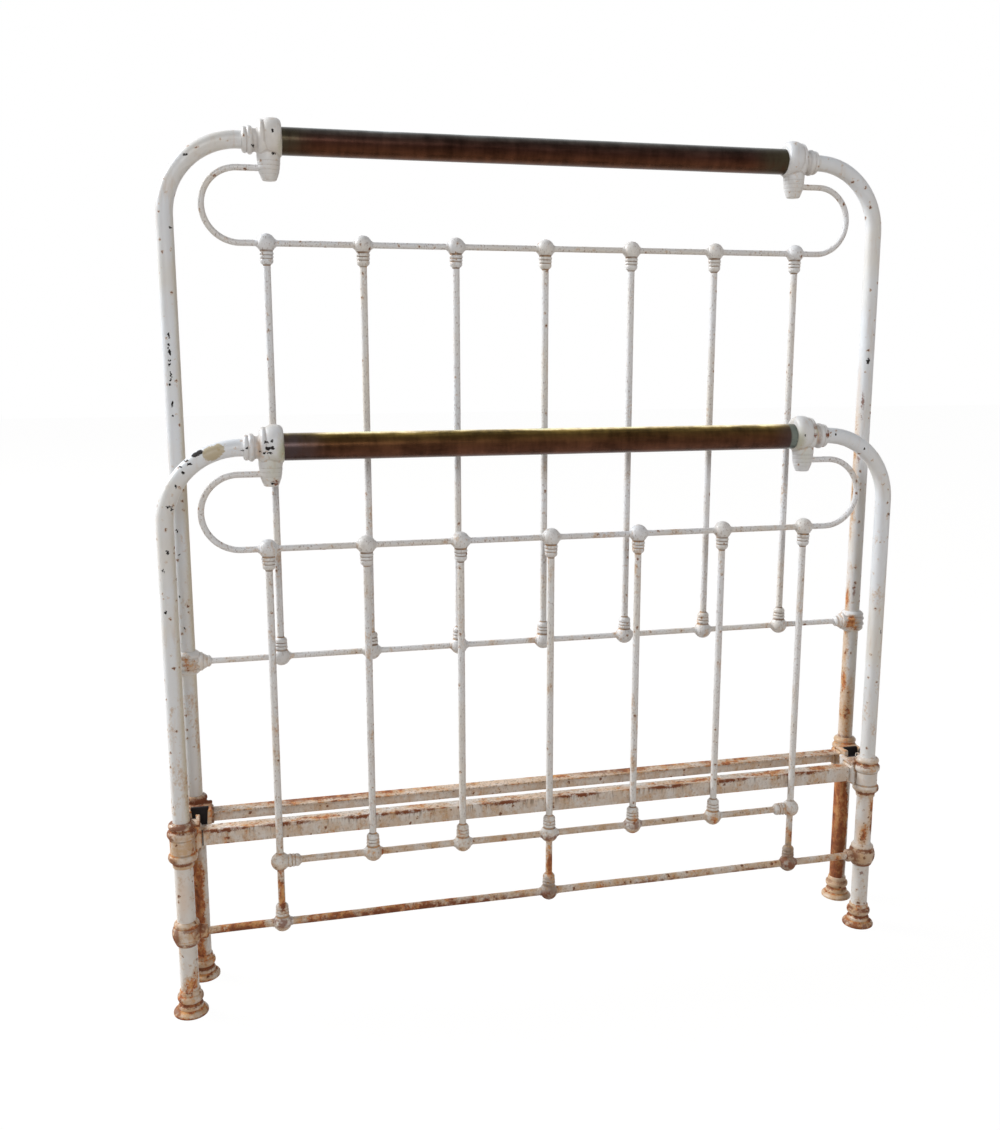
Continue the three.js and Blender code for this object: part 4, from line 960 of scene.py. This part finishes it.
middle_rod = straight_rod(THIN_ROD, HEAD_MID, 667, 0.3)
lower_rod = straight_rod(LOWER_ROD, FOOT_LOWER, 502, 0.3)
bottom_rod = straight_rod(BOTTOM_ROD, FOOT_BOTTOM, 666, 0.4)
finish(moved(middle_rod, head_end), "headboard_mid_rod", rod_paint)
finish(moved(lower_rod, foot_end), "footboard_lower_rod", bottom_paint)
finish(moved(bottom_rod, foot_end), "footboard_bottom_rod", bottom_paint)
print("straight rods drawn")

# %% [markdown]
# ## Castings on the posts and legs
# The head end's middle rod ends in a ribbed hub round the post, with a cone that steps down to the rod.
# The foot end's bottom rod ends in a bellied hub round the leg, with a round boss. Both are drawn with
# the rod's end towards +X, and turned round for the other side.

# %% Draw the middle and bottom castings
lower_ribs = [
    [16.5, -22], [18.6, -21], [21.6, -18.4], [23.6, -16], [23.8, -13], [22.4, -11], [22.6, -9.8],
    [25.2, -7.6], [25.5, -4.6], [23.4, -2],
]
ribbed_rings = lower_ribs + [[22.8, 0]] + [[radius, -height] for radius, height in lower_ribs[::-1]]
cone_rings = [
    [17.2, 0], [17.2, 23], [17.6, 25.4], [16.6, 27.2], [14.4, 28.6], [13.8, 30.6], [12.2, 33.4],
    [10.4, 35.4], [10.6, 36.6], [11.2, 38], [10.6, 39.8], [9.0, 41], [8.2, 42.4], [7.2, 43],
]
belly_rings = [
    [17.6, -21], [19.6, -20.4], [20.4, -18.8], [21.4, -17.4], [21.0, -16.4], [22.0, -15.2], [23.0, -13.6],
    [22.6, -12.2], [23.6, -11], [24.8, -9], [24.6, -7.6], [25.6, -6], [26.3, -2], [26.5, 2], [26.2, 7],
    [24.8, 12], [23.2, 15.4], [22.6, 16.6], [22.9, 18], [22.6, 20.4], [20.8, 23], [18.8, 25.2], [17.4, 26],
]
boss_rings = [[13, 0], [13, 33.4], [12.6, 35.6], [11.2, 37.2], [8.6, 38]]


def hub_casting(hub_rings, arm_rings):
    return weathered_and_shaded(cast(joined(turned(hub_rings, 48), moved(turned(arm_rings, 32), along_x)), 0.9))


set_out(hub_casting(ribbed_rings, cone_rings), cast_paint,
        at_posts("mid_casting", HEAD_MID, right=half_turn, ends=["headboard"]))
set_out(hub_casting(belly_rings, boss_rings), low_casting_paint,
        at_posts("bottom_casting", FOOT_BOTTOM, right=half_turn, ends=["footboard"]))

# %% [markdown]
# ## Corner castings
# The corner casting is the working joint of the bed. It holds post, leg and angle iron together and
# carries the open socket that a side rail's tongue drops into. Its body is turned, with three rings.
# The sleeve and the socket block are boxes with rounded edges, and the dovetail slot is cut out of the
# block before the three are cast in one.

# %% Draw the corner castings
def box(middle, size):
    bpy.ops.object.select_all(action="DESELECT")
    bpy.ops.mesh.primitive_cube_add(size=1, location=[v * mm for v in middle], scale=[v * mm for v in size])
    bpy.ops.object.transform_apply(location=True, rotation=True, scale=True)
    return bpy.context.object


def rounded_box(low, high, rounding):
    piece = box([(a + b) / 2 for a, b in zip(low, high)], [b - a for a, b in zip(low, high)])
    return modified(piece, "BEVEL", width=rounding * mm, segments=3, limit_method="ANGLE")


def dovetail_cutter(mouth_half=15, back_half=18, floor_narrower=4, middle_y=48.5):
    """A wedge that is wider at the back, and narrower at the floor."""
    cutter = box((SOCKET_PLACE, middle_y, SOCKET_HEIGHT), (2, 19, 48))
    for vertex in cutter.data.vertices:
        half = mouth_half if vertex.co.y > middle_y * mm else back_half
        half -= floor_narrower if vertex.co.z < SOCKET_HEIGHT * mm else 0
        vertex.co.x = (SOCKET_PLACE + math.copysign(half, vertex.co.x - SOCKET_PLACE * mm)) * mm
    return cutter


corner_rings = [
    [17.4, 287], [18.9, 288], [19.2, 294], [20.0, 296.4], [21.8, 298.2], [24.4, 300.6], [25.9, 303.6],
    [26.2, 307], [25.5, 310.2], [23.6, 312.4], [22.4, 314.2], [22.0, 318], [21.9, 334], [22.4, 341.6],
    [23.8, 344.2], [25.7, 347.2], [26.2, 351], [25.6, 354.4], [23.8, 356.6], [22.2, 358.4], [21.2, 360],
    [21.4, 361.4], [23.0, 363.2], [23.5, 366], [22.8, 368.6], [20.6, 371], [18.4, 372.4], [16.4, 373],
]


def corner_casting():
    """The left casting of an end: the bed's middle lies in the direction of +X."""
    body = turned(corner_rings, 48)
    block = rounded_box((-14, 4, 310), (32, 56, 361), 2.2)
    for vertex in block.data.vertices:
        if vertex.co.z < 330 * mm:
            vertex.co.x = (SOCKET_PLACE + (vertex.co.x / mm - SOCKET_PLACE) * 0.8) * mm
    cutter = dovetail_cutter()
    modified(block, "BOOLEAN", operation="DIFFERENCE", object=cutter, solver="EXACT")
    bpy.data.objects.remove(cutter)
    web_sleeve = rounded_box((8, 3.2, 316), (34, 13.4, 351.4), 2)
    flange_sleeve = rounded_box((8, 3.2, 341.2), (34, 38.6, 351.4), 2)
    gusset = rounded_box((12, 4.4, 301), (25, 12, 322), 3)
    return weathered_and_shaded(cast(joined(body, block, web_sleeve, flange_sleeve, gusset), 1.1))


set_out(corner_casting(), low_casting_paint, at_posts("corner_casting", right=mirror_x))

# %% [markdown]
# ## Angle irons
# An angle iron joins the two corner castings of an end. A flat bar is the upright leg of the angle. It
# is bisected a little below its top edge, and the strip above the cut is extruded sideways to make the
# flange, which points to the other end of the bed. A small bevel rounds the rolled edges.

# %% Draw the angle irons
def angle_iron(face=6.65, thick=3.2, leg_size=28.6, reach=662):
    """Face is how far the bar's outer face stands from the middle of the end's plane."""
    low = ANGLE_TOP - leg_size
    cut = (ANGLE_TOP - thick) * mm
    piece = box((0, face + thick / 2, low + leg_size / 2), (2 * reach, thick, leg_size))
    bpy.ops.object.mode_set(mode="EDIT")
    bpy.ops.mesh.select_all(action="SELECT")
    bpy.ops.mesh.bisect(plane_co=(0, 0, cut), plane_no=(0, 0, 1))
    bpy.ops.mesh.select_mode(type="FACE")
    bpy.ops.mesh.select_all(action="DESELECT")
    bpy.ops.object.mode_set(mode="OBJECT")
    for polygon in piece.data.polygons:
        polygon.select = polygon.normal.y > 0.9 and polygon.center.z > cut
    bpy.ops.object.mode_set(mode="EDIT")
    pull(y=leg_size - thick)
    bpy.ops.mesh.select_mode(type="VERT")
    return modified(closed(piece), "BEVEL", width=0.8 * mm, segments=2, limit_method="ANGLE")


set_out(angle_iron(), iron_paint, {
    "footboard_angle_iron": foot_end, "headboard_angle_iron": head_end})

# %% [markdown]
# ## Feet
# Each foot is a hollow casting over the end of the leg: a neck, a fat ring, a thin ring over a dark
# groove, and a sole that flares out to the floor. The rings are turned like the rest.

# %% Draw the feet
foot_rings = [
    [29.5, 0], [31.2, 0.8], [31.5, 2.4], [31.3, 4.6], [30.2, 6.4], [28.0, 8.2], [25.4, 9.8], [23.6, 11],
    [22.6, 12.2], [22.9, 13.6], [22.8, 16.6], [21.6, 18.6], [19.6, 20.2], [18.6, 22], [18.8, 23.6],
    [20.4, 25.2], [22.4, 27.2], [23.5, 30], [23.6, 33.6], [22.8, 36], [20.8, 37.8], [19.6, 39.4],
    [19.2, 43], [18.6, 46.8], [17.4, 48],
]
set_out(weathered_and_shaded(turned(foot_rings, 44)), low_casting_paint, at_posts("foot_casting"))

# %% [markdown]
# ## Floor, sky and lamps
# The photograph shows the bed on pure white. The floor is a pale diffuse plane that the camera sees
# almost white, so that only a soft trace of the bed's shadow stays on it. The sky is white to the
# camera and to reflections, and cooler and dimmer as a light.

# %% Lay the floor and light the sky
bpy.ops.object.select_all(action="DESELECT")
bpy.ops.mesh.primitive_plane_add(size=40, location=(0, 0, -0.0005))
floor = bpy.context.object
floor.name = "studio_floor"


def seen_white(owner, light, white, share, output):
    """Gives a floor or sky one shader that lights the bed and a white one for the camera and reflections."""
    owner.use_nodes = True
    tree = owner.node_tree
    tree.nodes.clear()
    path = add_node(tree, "LightPath").outputs
    seen = most(most(path["Is Camera Ray"], path["Is Glossy Ray"]), path["Is Transmission Ray"])
    shaders = [add_node(tree, kind, inputs).outputs[0] for kind, inputs in (light, white)]
    add_node(tree, output, {"Surface": worked("MixShader", times(seen, share), *shaders)})


floor_material = bpy.data.materials.new("floor_white")
seen_white(floor_material, ("BsdfDiffuse", {"Color": (0.50, 0.44, 0.38, 1)}),
           ("Emission", {"Color": grey(1), "Strength": 1.055}), 0.93, "OutputMaterial")
floor.data.materials.append(floor_material)

world = bpy.data.worlds.new("white_studio")
seen_white(world, ("Background", {"Color": (0.94, 0.965, 1.0, 1), "Strength": 0.165}),
           ("Background", {"Color": grey(1), "Strength": 1.0}), 1.0, "OutputWorld")
bpy.context.scene.world = world
print("floor and sky ready")

# %% [markdown]
# A broad lamp behind the left, like a window, gives every tube its light edge. A second one in front
# fills the faces, and a weak warm one from the right colours the dark sides.

# %% Hang the lamps
def broad_lamp(name, place, aim, size, watts, colour):
    data = bpy.data.lights.new(name, "AREA")
    data.shape = "DISK"
    data.size = size
    data.energy = watts
    data.color = colour
    lamp = bpy.data.objects.new(name, data)
    bpy.context.scene.collection.objects.link(lamp)
    lamp.location = place
    lamp.rotation_euler = (Vector(aim) - Vector(place)).to_track_quat("-Z", "Y").to_euler()


broad_lamp("window_light", (-8.0, 4.2, 6.6), (0, 0, 0.8), 6.0, 1480, (0.935, 0.97, 1.0))
broad_lamp("front_light", (-1.4, -8.2, 4.0), (0, 0, 0.8), 3.6, 270, (0.97, 0.985, 1.0))
broad_lamp("warm_light", (3.6, -2.4, 0.9), (0, 0, 0.7), 2.4, 8, (1.0, 0.76, 0.52))
print("lit by the sky and three broad lamps")

# %% [markdown]
# ## Count the pieces
# Last, the finished pieces and their faces are counted.

# %% Count the finished pieces
print(len(finished), "finished pieces,", sum(len(piece.data.polygons) for piece in finished), "faces")
